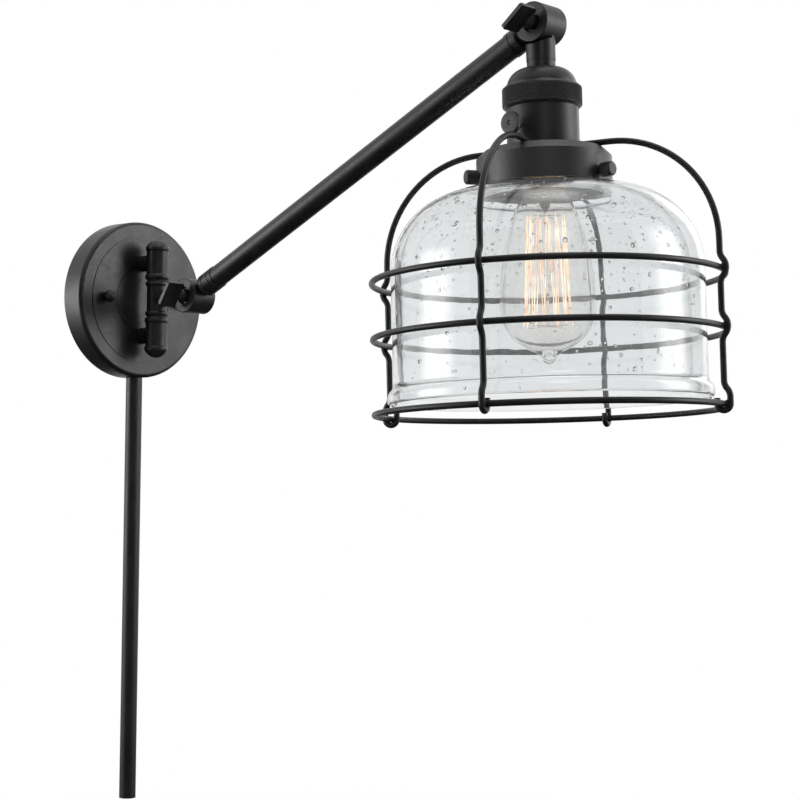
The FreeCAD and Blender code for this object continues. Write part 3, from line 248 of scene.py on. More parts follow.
def hotStrand(name, look):
    material, tree, out, place = newMaterial(name)
    patch = noise(tree, place, look["patchSize"], 2)
    tone = ramp(tree, patch, [(0.3, look["dark"]), (0.7, look["pale"])])
    power = spread(tree, patch, *look["power"], 0.3, 0.7)
    coverWith(tree, out, {
        "Base Color": (*look["body"], 1), "Roughness": look["rough"], "Emission Color": tone,
        "Emission Strength": power,
    })
    return material


hotCarbon = hotStrand("hotCarbon", {
    "dark": (1.0, 0.6, 0.36), "pale": (1.0, 0.8, 0.6), "power": (1.0, 1.9), "patchSize": 7,
    "body": (0.2, 0.1, 0.05), "rough": 0.6,
})
print("finishes made")


# Profiles and turned pieces.

def arcPoints(start, end, radius, step):
    # A minor arc that turns left for a positive radius, without its first point.
    a, b = Vector(start), Vector(end)
    chord = b - a
    side = Vector((-chord.y, chord.x)).normalized() * (1 if radius > 0 else -1)
    size = abs(radius)
    centre = (a + b) / 2 + side * math.sqrt(max(size * size - chord.length_squared / 4, 0))
    first = math.atan2(a.y - centre.y, a.x - centre.x)
    sweep = 2 * math.asin(min(chord.length / (2 * size), 1)) * (1 if radius > 0 else -1)
    count = max(2, math.ceil(abs(math.degrees(sweep)) / step))
    return [
        (centre.x + size * math.cos(first + sweep * i / count), centre.y + size * math.sin(first + sweep * i / count))
        for i in range(1, count + 1)
    ]


def outline(corners, closed=True, step=5.0, soften=0.0):
    # Corners are (across, along), with a third number where an arc leads on to the next one.
    points = []
    hard = []
    count = len(corners)
    for i, corner in enumerate(corners if closed else corners[:-1]):
        following = corners[(i + 1) % count]
        if not points:
            points.append(tuple(corner[:2]))
            hard.append(True)
        if len(corner) > 2:
            run = arcPoints(corner[:2], following[:2], corner[2], step)
            points += run
            hard += [False] * (len(run) - 1) + [True]
        else:
            points.append(tuple(following[:2]))
            hard.append(True)
    if closed:
        points.pop()
        hard.pop()
    if not soften:
        return points
    result = []
    count = len(points)
    for i, point in enumerate(points):
        inner = closed or 0 < i < count - 1
        here = Vector(point)
        before, after = Vector(points[i - 1]), Vector(points[(i + 1) % count])
        into, onward = (here - before), (after - here)
        if not (hard[i] and inner) or here.x < 1e-6 or min(into.length, onward.length) < 1e-6:
            result.append(point)
            continue
        turn = into.angle(onward)
        if turn < math.radians(20):
            result.append(point)
            continue
        cut = min(soften * math.tan(turn / 2), into.length * 0.4, onward.length * 0.4)
        start, end = here - into.normalized() * cut, here + onward.normalized() * cut
        for share in (0, 0.25, 0.5, 0.75, 1):
            result.append(tuple(start * (1 - share) ** 2 + here * 2 * share * (1 - share) + end * share ** 2))
    return result


def makeObject(name, mesh):
    piece = bpy.data.objects.new(name, mesh)
    bpy.context.scene.collection.objects.link(piece)
    return piece


def turnedMesh(name, profile, segments, closed=True):
    # Spins a profile of (radius, along) about the local Z axis. Points on the axis are single.
    points, rows = [], []
    for radius, along in profile:
        if radius < 1e-6:
            rows.append([len(points)] * segments)
            points.append((0, 0, along))
            continue
        rows.append(list(range(len(points), len(points) + segments)))
        for k in range(segments):
            angle = 2 * math.pi * k / segments
            points.append((radius * math.cos(angle), radius * math.sin(angle), along))
    faces = []
    pairs = list(zip(rows, rows[1:])) + ([(rows[-1], rows[0])] if closed else [])
    for one, two in pairs:
        for k in range(segments):
            n = (k + 1) % segments
            ring = [one[k], one[n], two[n], two[k]]
            face = [v for i, v in enumerate(ring) if v != ring[i - 1]]
            if len(set(face)) > 2:
                faces.append(face)
    mesh = bpy.data.meshes.new(name)
    mesh.from_pydata(points, [], faces)
    tidyMesh(mesh)
    return mesh


def tidyMesh(mesh, angle=35):
    work = bmesh.new()
    work.from_mesh(mesh)
    bmesh.ops.remove_doubles(work, verts=work.verts, dist=1e-5)
    bmesh.ops.recalc_face_normals(work, faces=work.faces)
    work.to_mesh(mesh)
    work.free()
    mesh.shade_smooth()
    mesh.set_sharp_from_angle(angle=math.radians(angle))


def dress(piece, body, slot, *stoodFor):
    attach(piece, body)
    if stoodFor:
        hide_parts(*stoodFor)
    return piece


def settle(mesh, material, body, slot, *stoodFor):
    # Moves a mesh to its place in the head and makes it a finished piece of the same name.
    mesh.transform(headFrame)
    mesh.materials.append(material)
    dress(makeObject(mesh.name, mesh), body, slot, *stoodFor)


# Geometry node trees. Each takes its sizes as named inputs and ends in one plain mesh.

def newTree(name, inputs):
    tree = bpy.data.node_groups.new(name, "GeometryNodeTree")
    tree.interface.new_socket("Geometry", in_out="INPUT", socket_type="NodeSocketGeometry")
    tree.interface.new_socket("Geometry", in_out="OUTPUT", socket_type="NodeSocketGeometry")
    for label, value in inputs.items():
        if isinstance(value, bpy.types.Material):
            kind = "NodeSocketMaterial"
        else:
            kind = "NodeSocketInt" if isinstance(value, int) else "NodeSocketFloat"
        tree.interface.new_socket(label, in_out="INPUT", socket_type=kind)
    return tree, addNode(tree, "NodeGroupInput").outputs


def endTree(tree, geometry, material=None):
    real = addNode(tree, "GeometryNodeRealizeInstances", {"Geometry": geometry}).outputs[0]
    if material is not None:
        real = addNode(tree, "GeometryNodeSetMaterial", {"Geometry": real, "Material": material}).outputs[0]
    addNode(tree, "NodeGroupOutput", {"Geometry": real})


def grow(name, mesh, makeTree, inputs, place=headFrame):
    # Runs a tree on a mesh and keeps its result as a plain mesh, moved to its place in the lamp.
    tree = makeTree(inputs)
    seed = makeObject(name + "Seed", mesh)
    modifier = seed.modifiers.new("grow", "NODES")
    modifier.node_group = tree
    for item in tree.interface.items_tree:
        if item.in_out == "INPUT" and item.name in inputs:
            modifier[item.identifier] = inputs[item.name]
    graph = bpy.context.evaluated_depsgraph_get()
    result = bpy.data.meshes.new_from_object(seed.evaluated_get(graph), depsgraph=graph)
    result.name = name
    seed.modifiers.remove(modifier)
    bpy.data.objects.remove(seed)
    for index in reversed(range(len(result.materials))):
        if result.materials[index] is None:
            result.materials.pop(index=index)
    result.transform(place)
    return makeObject(name, result)


def circleOf(tree, radius, points):
    return addNode(tree, "GeometryNodeCurvePrimitiveCircle", {"Resolution": points, "Radius": radius}).outputs[0]


def sweepAlong(tree, curve, section, caps=True):
    return addNode(tree, "GeometryNodeCurveToMesh", {
        "Curve": curve, "Profile Curve": section, "Fill Caps": caps,
    }).outputs[0]


def setAround(tree, radius, angle, along):
    # A place on a circle about the local Z axis.
    return addNode(tree, "ShaderNodeCombineXYZ", {
        "X": calc(tree, "MULTIPLY", radius, calc(tree, "COSINE", angle)),
        "Y": calc(tree, "MULTIPLY", radius, calc(tree, "SINE", angle)), "Z": along,
    }).outputs[0]


# The wire cage: three rings, four bent wires and their welds.
cage = {
    "ringRadius": 110.5, "ringSteps": 192, "wireRadius": 1.96, "rings": (163.8, 199.3, 246.5), "side": 111.0,
    "out": 3.55, "run": 5.0, "shoulder": 67.0, "level": 79.95, "start": 27.0, "hook": 4.05, "hookLead": 4.0,
    "hookTail": 3.5, "wires": 4, "firstAngle": 162.5, "sides": 20, "weld": (1.75, 2.3, 2.3),
}


def bendRadius(run, shift):
    # The radius of the two equal arcs of an S bend that moves over by shift in twice the run.
    return (run * run + shift * shift / 4) / shift


def wirePath():
    side, out, run = cage["side"], cage["out"], cage["run"]
    jog = bendRadius(run, out)
    level, shoulder = cage["level"], cage["shoulder"]
    path = [(cage["start"], level), (side - shoulder, level, shoulder), (side, level + shoulder)]
    for drop in cage["rings"][:2]:
        path += [
            (side, drop - run * 2, -jog), (side + out / 2, drop - run, jog), (side + out, drop, jog),
            (side + out / 2, drop + run, -jog), (side, drop + run * 2),
        ]
    low = cage["rings"][2]
    bendTop = low - cage["hookLead"]
    hook = cage["hook"]
    path += [
        (side, bendTop - run * 2, -jog), (side + out / 2, bendTop - run, jog), (side + out, bendTop),
        (side + out, low, hook), (cage["ringRadius"], low + hook, hook), (cage["ringRadius"] - hook, low),
        (cage["ringRadius"] - hook, low - cage["hookTail"]),
    ]
    return outline(path, closed=False, step=4.0)


def cageTree(inputs):
    tree, given = newTree("cageTree", inputs)
    section = circleOf(tree, given["Wire radius"], given["Sides"])
    wire = addNode(tree, "GeometryNodeMeshToCurve", {"Mesh": given["Geometry"]})
    swept = sweepAlong(tree, wire.outputs[0], section)
    places = addNode(tree, "GeometryNodePoints", {"Count": given["Wires"]})
    number = addNode(tree, "GeometryNodeInputIndex").outputs[0]
    quarter = calc(tree, "DIVIDE", 2 * math.pi, given["Wires"])
    angle = calc(tree, "ADD", given["First angle"], calc(tree, "MULTIPLY", number, quarter))
    turn = addNode(tree, "ShaderNodeCombineXYZ", {"Z": angle})
    wires = addNode(tree, "GeometryNodeInstanceOnPoints", {
        "Points": places.outputs[0], "Instance": swept, "Rotation": turn.outputs[0],
    })
    join = addNode(tree, "GeometryNodeJoinGeometry", {0: wires.outputs[0]})
    band = sweepAlong(tree, circleOf(tree, given["Ring radius"], given["Ring steps"]), section, caps=False)
    levels = ("Upper ring", "Middle ring", "Lower ring")
    for label in levels:
        lift = addNode(tree, "ShaderNodeCombineXYZ", {"Z": given[label]})
        ring = addNode(tree, "GeometryNodeTransform", {"Geometry": band, "Translation": lift.outputs[0]})
        tree.links.new(ring.outputs[0], join.inputs[0])
    # A small flattened bead of weld sits between each wire and each ring.
    bead = addNode(tree, "GeometryNodeMeshIcoSphere", {"Radius": 1.0, "Subdivisions": 3})
    smooth = addNode(tree, "GeometryNodeSetShadeSmooth", {"Geometry": bead.outputs[0]})
    reach = calc(tree, "ADD", given["Ring radius"], given["Wire radius"])
    for label in levels:
        spot = addNode(tree, "ShaderNodeCombineXYZ", {"X": reach, "Z": given[label]})
        moved = addNode(tree, "GeometryNodeTransform", {
            "Geometry": smooth.outputs[0], "Translation": spot.outputs[0], "Scale": cage["weld"],
        })
        beads = addNode(tree, "GeometryNodeInstanceOnPoints", {
            "Points": places.outputs[0], "Instance": moved.outputs[0], "Rotation": turn.outputs[0],
        })
        tree.links.new(beads.outputs[0], join.inputs[0])
    endTree(tree, join.outputs[0], given["Finish"])
    return tree


def buildCage():
    path = bpy.data.meshes.new("wirePath")
    points = [(across, 0, along) for across, along in wirePath()]
    path.from_pydata(points, [(i, i + 1) for i in range(len(points) - 1)], [])
    upper, middle, lower = cage["rings"]
    piece = grow("wire_cage", path, cageTree, {
        "Ring radius": cage["ringRadius"], "Ring steps": cage["ringSteps"], "Wire radius": cage["wireRadius"],
        "Upper ring": upper, "Middle ring": middle, "Lower ring": lower, "Wires": cage["wires"],
        "First angle": math.radians(cage["firstAngle"]), "Sides": cage["sides"], "Finish": blackCage,
    })
    piece.data.shade_smooth()
    piece.data.set_sharp_from_angle(angle=math.radians(50))
    dress(piece, "head", "black_cage", "upper_cage_ring", "middle_cage_ring", "lower_cage_ring",
          "front_cage_wire", "left_cage_wire", "back_cage_wire", "right_cage_wire")


buildCage()
print("cage made")


# The seeded glass bell.
bell = {
    "lipRadius": 40.6, "lipTop": 93.75, "lipEnd": 97.95, "neckRadius": 38.5, "wall": 3.0, "neckRound": 6.0,
    "crown": 108.0, "shoulder": 50.0, "side": 98.5, "flareTop": 227.5, "flareRun": 4.5, "rimRadius": 102.2,
    "rim": 240.5, "segments": 160, "wave": 0.5, "waveSize": 45.0, "seeds": 0.009, "largeSeeds": 0.0011,
    "onShoulder": 1.5, "smallest": 0.4, "small": 1.0, "large": 1.7, "flatness": 0.58, "margin": 0.15,
    "shapes": ((0.85, 0.85, 0.8), (1.25, 1.1, 1.0)), "randomSeed": 3,
}


def bellProfile():
    b = bell
    flare = b["rimRadius"] - b["side"]
    bend = bendRadius(b["flareRun"], flare)
    top, end = b["flareTop"], b["flareTop"] + b["flareRun"] * 2
    wall, neck, side, rim = b["wall"], b["neckRadius"], b["side"], b["rim"]
    crown, rounding = b["crown"], b["neckRound"]
    shoulderIn = side - b["shoulder"]
    edge = wall / 2
    outer = [
        (neck - wall, b["lipTop"]), (b["lipRadius"], b["lipTop"]), (b["lipRadius"], b["lipEnd"]),
        (neck, b["lipEnd"]), (neck, crown - rounding, -rounding), (neck + rounding, crown),
        (shoulderIn, crown, b["shoulder"]), (side, crown + b["shoulder"]), (side, top, -bend),
        (side + flare / 2, top + b["flareRun"], bend), (b["rimRadius"], end), (b["rimRadius"], rim - edge, edge),
        (b["rimRadius"] - edge, rim, edge),
    ]
    inner = [
        (b["rimRadius"] - wall, rim - edge), (b["rimRadius"] - wall, end, -bend),
        (side - wall + flare / 2, top + b["flareRun"], bend), (side - wall, top),
        (side - wall, crown + b["shoulder"], -(b["shoulder"] - wall)), (shoulderIn, crown + wall),
        (neck + rounding, crown + wall, rounding + wall), (neck - wall, crown - rounding),
    ]
    return outline(outer + inner, step=3.0, soften=0.5)


def bellMesh():
    mesh = turnedMesh("bell", bellProfile(), bell["segments"])
    # Seeds are scattered from the outer skin only, thickest on the shoulder.
    chance = mesh.attributes.new("seedChance", "FLOAT", "POINT")
    middle = Vector((0, 0, bell["crown"] + bell["shoulder"]))
    for i, vertex in enumerate(mesh.vertices):
        across, along = math.hypot(vertex.co.x, vertex.co.y), vertex.co.z
        outward = vertex.normal.dot((vertex.co - middle).normalized()) > 0.2
        inWall = bell["lipEnd"] + 3 < along < bell["flareTop"]
        if along < bell["crown"] - 1:
            fromAxis = vertex.normal.x * vertex.co.x + vertex.normal.y * vertex.co.y
            outward = fromAxis > 0 and across > bell["neckRadius"] - 1
        share = 1.0 if along > bell["crown"] + bell["shoulder"] else bell["onShoulder"]
        chance.data[i].value = share if outward and inWall else 0.0
    return mesh


def bellTree(inputs):
    tree, given = newTree("bellTree", inputs)
    # A slow wave in the blown wall, the same on its two skins.
    wave = addNode(tree, "ShaderNodeTexNoise", {"Scale": calc(tree, "DIVIDE", 1.0, given["Wave size"]), "Detail": 1.0})
    sway = addNode(tree, "ShaderNodeVectorMath", {0: wave.outputs["Color"], 1: (0.5, 0.5, 0.5)}, operation="SUBTRACT")
    push = addNode(tree, "ShaderNodeVectorMath", {0: sway.outputs[0], "Scale": given["Wave"]}, operation="SCALE")
    shell = addNode(tree, "GeometryNodeSetPosition", {"Geometry": given["Geometry"], "Offset": push.outputs[0]})
    glazed = addNode(tree, "GeometryNodeSetMaterial", {"Geometry": shell.outputs[0], "Material": given["Glass"]})
    join = addNode(tree, "GeometryNodeJoinGeometry", {0: glazed.outputs[0]})
    chance = addNode(tree, "GeometryNodeInputNamedAttribute", {"Name": "seedChance"}, data_type="FLOAT").outputs[0]
    ball = addNode(tree, "GeometryNodeMeshIcoSphere", {"Radius": 1.0, "Subdivisions": 2})
    hollow = addNode(tree, "GeometryNodeFlipFaces", {"Mesh": ball.outputs[0]})
    smooth = addNode(tree, "GeometryNodeSetShadeSmooth", {"Geometry": hollow.outputs[0]})
    skinned = addNode(tree, "GeometryNodeSetMaterial", {"Geometry": smooth.outputs[0], "Material": given["Seed skin"]})
    # Each kind has its density, least and largest size, lean to the small side, and shift of the random seed.
    kinds = (("Seeds", "Smallest", "Small", 2.6, 0), ("Large seeds", "Small", "Large", 1.0, 50))
    for label, least, most, bias, shift in kinds:
        seed = calc(tree, "ADD", given["Random seed"], shift)
        density = calc(tree, "MULTIPLY", chance, given[label])
        dots = addNode(tree, "GeometryNodeDistributePointsOnFaces", {
            "Mesh": shell.outputs[0], "Density": density, "Seed": seed,
        }, distribute_method="RANDOM")
        draw = addNode(tree, "FunctionNodeRandomValue", {2: 0.0, 3: 1.0, "Seed": seed}, data_type="FLOAT").outputs[1]
        size = addNode(tree, "ShaderNodeMapRange", {
            "Value": calc(tree, "POWER", draw, bias), "To Min": given[least], "To Max": given[most],
        }).outputs[0]
        # Each seed is flattened by the wall and sits whole inside it, at its own depth.
        half = calc(tree, "MULTIPLY", size, given["Flatness"])
        taken = calc(tree, "ADD", half, given["Margin"])
        room = calc(tree, "SUBTRACT", calc(tree, "DIVIDE", given["Wall"], 2.0), taken)
        level = addNode(tree, "FunctionNodeRandomValue", {2: -1.0, 3: 1.0, "Seed": calc(tree, "ADD", seed, 7)},
                        data_type="FLOAT").outputs[1]
        depth = calc(tree, "ADD", calc(tree, "DIVIDE", given["Wall"], -2.0), calc(tree, "MULTIPLY", room, level))
        inward = addNode(tree, "ShaderNodeVectorMath", {0: dots.outputs["Normal"], "Scale": depth}, operation="SCALE")
        sunk = addNode(tree, "GeometryNodeSetPosition", {"Geometry": dots.outputs[0], "Offset": inward.outputs[0]})
        shape = addNode(tree, "FunctionNodeRandomValue", {
            0: bell["shapes"][0], 1: bell["shapes"][1], "Seed": calc(tree, "ADD", seed, 11),
        }, data_type="FLOAT_VECTOR").outputs[0]
        squash = addNode(tree, "ShaderNodeCombineXYZ", {"X": 1.0, "Y": 1.0, "Z": given["Flatness"]})
        flat = addNode(tree, "ShaderNodeVectorMath", {0: shape, 1: squash.outputs[0]}, operation="MULTIPLY")
        scale = addNode(tree, "ShaderNodeVectorMath", {0: flat.outputs[0], "Scale": size}, operation="SCALE")
        balls = addNode(tree, "GeometryNodeInstanceOnPoints", {
            "Points": sunk.outputs[0], "Instance": skinned.outputs[0], "Rotation": dots.outputs["Rotation"],
            "Scale": scale.outputs[0],
        })
        tree.links.new(balls.outputs[0], join.inputs[0])
    endTree(tree, join.outputs[0])
    return tree


def buildBell():
    piece = grow("seeded_bell", bellMesh(), bellTree, {
        "Wall": bell["wall"], "Seeds": bell["seeds"], "Large seeds": bell["largeSeeds"],
        "Smallest": bell["smallest"], "Small": bell["small"], "Large": bell["large"],
        "Flatness": bell["flatness"], "Margin": bell["margin"], "Wave": bell["wave"], "Wave size": bell["waveSize"],
        "Random seed": bell["randomSeed"], "Glass": seededGlass, "Seed skin": seedSkin,
    })
    dress(piece, "head", "seeded_glass", "glass_shade")
    print("bell faces:", len(piece.data.polygons), [m.name for m in piece.data.materials])


buildBell()
print("bell made")


# The bulb: glass, stem, hot filament and screw base.
bulb = {
    "baseEnd": 105.1, "inserted": 12.55, "neckRadius": 14.2, "wall": 0.8, "ballRadius": 30.15, "ball": 180.0,
    "tipBase": 8.5, "tipRadius": 4.2, "tip": 216.5, "tipSolid": 2.6, "tipWall": 1.1, "tipDome": 0.8,
    "tipBore": (2.3, 1.2), "neckDepth": 9.0, "segments": 112,
}


def buildBulbGlass():
    b = bulb
    wall = b["wall"]
    shoulder = b["baseEnd"] + 0.1
    neckTop = shoulder + wall
    swell = b["ballRadius"] - b["neckRadius"]
    rise = b["ball"] - neckTop
    flank = (swell * swell + rise * rise) / (swell * 2)
    dome = b["tipRadius"] * b["tipDome"]
    tipBend = (b["tipRadius"] ** 2 + dome * dome) / (dome * 2)
    root = b["ball"] + math.sqrt(b["ballRadius"] ** 2 - b["tipBase"] ** 2)
    # The drawn-off tip is hollow almost to its end.
    inBall = b["ballRadius"] - wall
    inBase = b["tipBase"] - b["tipWall"]
    inRoot = b["ball"] + math.sqrt(inBall ** 2 - inBase ** 2)
    boreRadius, boreShort = b["tipBore"]
    profile = outline([
        (b["inserted"] - wall, b["baseEnd"] - b["neckDepth"]), (b["inserted"], b["baseEnd"] - b["neckDepth"]),
        (b["inserted"], shoulder), (b["neckRadius"], neckTop, flank), (b["ballRadius"], b["ball"], b["ballRadius"]),
        (b["tipBase"], root), (b["tipRadius"], b["tip"] - dome, tipBend), (0, b["tip"]),
        (0, b["tip"] - b["tipSolid"]), (boreRadius, b["tip"] - dome - boreShort), (inBase, inRoot, -inBall),
        (inBall, b["ball"], -flank), (b["neckRadius"] - wall, neckTop), (b["inserted"] - wall, shoulder),
    ], step=3.0, soften=1.2)
    settle(turnedMesh("bulb_envelope", profile, b["segments"]), bulbGlass, "bulb", "bulb_clear", "bulb_glass")


stem = {
    "top": 96.1, "flareRadius": 11.7, "lip": 0.8, "flareBend": 9, "radius": 3.5, "flareEnd": 105.1, "end": 119.0,
    "rodRadius": 0.9, "button": 2.1, "buttonAt": 125.5, "rodEnd": 193.5, "lowButton": 1.8, "segments": 40,
}


def buildStem():
    s = stem
    profile = outline([
        (0, s["top"]), (s["flareRadius"], s["top"]), (s["flareRadius"], s["top"] + s["lip"]),
        (s["radius"] + 2, s["flareEnd"] - 3, -s["flareBend"]), (s["radius"], s["flareEnd"] + 3),
        (s["radius"], s["end"] - 4),
        (s["rodRadius"], s["end"]), (s["rodRadius"], s["buttonAt"] - s["button"]),
        (s["button"], s["buttonAt"]), (s["rodRadius"], s["buttonAt"] + s["button"]),
        (s["rodRadius"], s["rodEnd"] - s["lowButton"]), (s["lowButton"], s["rodEnd"]), (0, s["rodEnd"] + 1.5),
    ], step=8.0, soften=1.0)
    mesh = turnedMesh("filament_mount", profile, s["segments"], closed=False)
    settle(mesh, stemGlass, "bulb", "bulb_clear", "filament_stem")


strands = {
    "top": 122.0, "bottom": 192.5, "topRadius": 11.5, "bottomRadius": 15.5, "wireRadius": 0.28, "legs": 26,
    "legSteps": 6.0, "spokes": 4, "spokeRadius": 0.3, "sides": 8,
}


def strandTree(inputs):
    tree, given = newTree("strandTree", inputs)
    number = addNode(tree, "GeometryNodeInputIndex").outputs[0]
    # One wire zigzags down and up between the two sets of hooks, all the way round.
    count = calc(tree, "MULTIPLY", given["Legs"], given["Leg steps"])
    line = addNode(tree, "GeometryNodeMeshLine", {"Count": count})
    step = calc(tree, "DIVIDE", number, given["Leg steps"])
    phase = calc(tree, "PINGPONG", step, 1.0)
    swing = addNode(tree, "ShaderNodeMapRange", {"Value": phase}, interpolation_type="SMOOTHSTEP").outputs[0]
    away = addNode(tree, "ShaderNodeMapRange", {
        "Value": phase, "To Min": given["Top radius"], "To Max": given["Bottom radius"],
    }).outputs[0]
    along = addNode(tree, "ShaderNodeMapRange", {
        "Value": swing, "To Min": given["Top"], "To Max": given["Bottom"],
    }).outputs[0]
    angle = calc(tree, "MULTIPLY", step, calc(tree, "DIVIDE", 2 * math.pi, given["Legs"]))
    spot = setAround(tree, away, angle, along)
    bent = addNode(tree, "GeometryNodeSetPosition", {"Geometry": line.outputs[0], "Position": spot})
    wire = addNode(tree, "GeometryNodeMeshToCurve", {"Mesh": bent.outputs[0]})
    swept = sweepAlong(tree, wire.outputs[0], circleOf(tree, given["Wire radius"], given["Sides"]))
    glowing = addNode(tree, "GeometryNodeSetMaterial", {"Geometry": swept, "Material": given["Hot"]})
    join = addNode(tree, "GeometryNodeJoinGeometry", {0: glowing.outputs[0]})
    # Thin wire spokes hold the strands off the centre rod at each end.
    thin = circleOf(tree, given["Spoke radius"], given["Sides"])
    for level, reach, tilt in (("Top", "Top radius", 1.6), ("Bottom", "Bottom radius", 0.8)):
        end = addNode(tree, "ShaderNodeCombineXYZ", {"X": given[reach], "Z": tilt})
        arm = addNode(tree, "GeometryNodeCurvePrimitiveLine", {"End": end.outputs[0]})
        rod = sweepAlong(tree, arm.outputs[0], thin)
        places = addNode(tree, "GeometryNodePoints", {"Count": given["Spokes"]})
        turn = addNode(tree, "ShaderNodeCombineXYZ", {
            "Z": calc(tree, "MULTIPLY", number, calc(tree, "DIVIDE", 2 * math.pi, given["Spokes"])),
        })
        rods = addNode(tree, "GeometryNodeInstanceOnPoints", {
            "Points": places.outputs[0], "Instance": rod, "Rotation": turn.outputs[0],
        })
        lift = addNode(tree, "ShaderNodeCombineXYZ", {"Z": given[level]})
        lifted = addNode(tree, "GeometryNodeTransform", {"Geometry": rods.outputs[0], "Translation": lift.outputs[0]})
        cold = addNode(tree, "GeometryNodeSetMaterial", {"Geometry": lifted.outputs[0], "Material": given["Cold"]})
        tree.links.new(cold.outputs[0], join.inputs[0])
    endTree(tree, join.outputs[0])
    return tree


def buildStrands():
    piece = grow("filament_strands", bpy.data.meshes.new("strandSeed"), strandTree, {
        "Top": strands["top"], "Bottom": strands["bottom"], "Top radius": strands["topRadius"],
        "Bottom radius": strands["bottomRadius"], "Wire radius": strands["wireRadius"], "Legs": strands["legs"],
        "Leg steps": strands["legSteps"], "Spokes": strands["spokes"], "Spoke radius": strands["spokeRadius"],
        "Sides": strands["sides"], "Hot": hotCarbon, "Cold": zincPlate,
    })
    piece.data.shade_smooth()
    dress(piece, "bulb", "plated_steel", "filament")


screwBase = {
    "start": 81.1, "end": 105.1, "radius": 12.75, "wall": 0.5, "depth": 0.35, "pitch": 3.62, "fade": 3,
    "rows": 66, "segments": 72,
}


def buildScrewBase():
    # The rolled thread of the base: each ring of points follows the helix.
    s = screwBase
    rows = s["rows"]
    points, faces = [], []
    for side in (0, 1):
        for j in range(rows + 1):
            along = s["start"] + (s["end"] - s["start"]) * j / rows
            fade = min(1, (along - s["start"]) / s["fade"], (s["end"] - along) / s["fade"])
            for k in range(s["segments"]):
                angle = 2 * math.pi * k / s["segments"]
                lift = s["depth"] * fade * math.sin(2 * math.pi * along / s["pitch"] - angle)
                radius = s["radius"] + lift - s["wall"] * side
                points.append((radius * math.cos(angle), radius * math.sin(angle), along))
    n, half = s["segments"], (rows + 1) * s["segments"]
    for j in range(rows):
        for k in range(n):
            a, b = j * n + k, j * n + (k + 1) % n
            faces.append((a, b, b + n, a + n))
            faces.append((half + a, half + a + n, half + b + n, half + b))
    for j in (0, rows):
        for k in range(n):
            a, b = j * n + k, j * n + (k + 1) % n
            faces.append((a, b, half + b, half + a))
    mesh = bpy.data.meshes.new("bulb_screw_base")
    mesh.from_pydata(points, [], faces)
    tidyMesh(mesh)
    settle(mesh, brass, "bulb", "ground_brass", "bulb_base")


buildBulbGlass()
buildStem()
buildStrands()
buildScrewBase()
print("bulb made")


# The knurled ring of the socket, the key knob and the thumb screws.
knurl = {
    "radius": 24.95, "top": 40.1, "end": 54.9, "topBevel": 1.7, "bottomBevel": 1.6, "inner": 23.3, "segments": 132,
    "around": 108, "rows": 9, "point": 0.44, "pointWidth": 0.12, "border": 0.2, "sunk": 0.02,
}


def knurlTree(inputs):
    tree, given = newTree("knurlTree", inputs)
    number = addNode(tree, "GeometryNodeInputIndex").outputs[0]
    total = calc(tree, "MULTIPLY", given["Around"], given["Rows"])
    dots = addNode(tree, "GeometryNodePoints", {"Count": total})
    row = calc(tree, "FLOOR", calc(tree, "DIVIDE", calc(tree, "ADD", number, 0.5), given["Around"]))
    column = calc(tree, "SUBTRACT", number, calc(tree, "MULTIPLY", row, given["Around"]))
    stagger = calc(tree, "MULTIPLY", calc(tree, "MODULO", row, 2.0), 0.5)
    turnStep = calc(tree, "DIVIDE", 2 * math.pi, given["Around"])
    angle = calc(tree, "MULTIPLY", calc(tree, "ADD", column, stagger), turnStep)
    rowStep = calc(tree, "DIVIDE", calc(tree, "SUBTRACT", given["End"], given["Start"]), given["Rows"])
    along = calc(tree, "ADD", given["Start"], calc(tree, "MULTIPLY", calc(tree, "ADD", row, 0.5), rowStep))
    spot = setAround(tree, given["Radius"], angle, along)
    placed = addNode(tree, "GeometryNodeSetPosition", {"Geometry": dots.outputs[0], "Position": spot})
    turn = addNode(tree, "ShaderNodeCombineXYZ", {"Y": math.pi / 2, "Z": angle})
    # A stud is a four-sided point, as high as its row and half as wide as its step round the ring.
    stud = addNode(tree, "GeometryNodeMeshCone", {
        "Vertices": 4, "Radius Top": given["Point width"], "Radius Bottom": 1.0, "Depth": 1.0,
    }, fill_type="NGON")
    width = calc(tree, "MULTIPLY", calc(tree, "MULTIPLY", turnStep, given["Radius"]), 0.5)
    size = addNode(tree, "ShaderNodeCombineXYZ", {"X": rowStep, "Y": width, "Z": given["Point"]})
    studs = addNode(tree, "GeometryNodeInstanceOnPoints", {
        "Points": placed.outputs[0], "Instance": stud.outputs[0], "Rotation": turn.outputs[0], "Scale": size.outputs[0],
    })
    join = addNode(tree, "GeometryNodeJoinGeometry", {0: given["Geometry"]})
    tree.links.new(studs.outputs[0], join.inputs[0])
    endTree(tree, join.outputs[0], given["Finish"])
    return tree


def buildKnurledRing():
    k = knurl
    profile = outline([
        (k["inner"], k["top"]), (k["radius"] - k["topBevel"], k["top"]), (k["radius"], k["top"] + k["topBevel"]),
        (k["radius"], k["end"] - k["bottomBevel"]), (k["radius"] - k["bottomBevel"], k["end"]),
        (k["inner"], k["end"]),
    ], soften=0.35)
    piece = grow("knurled_ring", turnedMesh("ring", profile, k["segments"]), knurlTree, {
        "Radius": k["radius"] - k["sunk"], "Start": k["top"] + k["topBevel"] + k["border"],
        "End": k["end"] - k["bottomBevel"] - k["border"], "Around": k["around"], "Rows": k["rows"],
        "Point": k["point"], "Point width": k["pointWidth"], "Finish": blackSocket,
    })
    piece.data.set_sharp_from_angle(angle=math.radians(28))
    dress(piece, "head", "black_socket", "socket_ring")


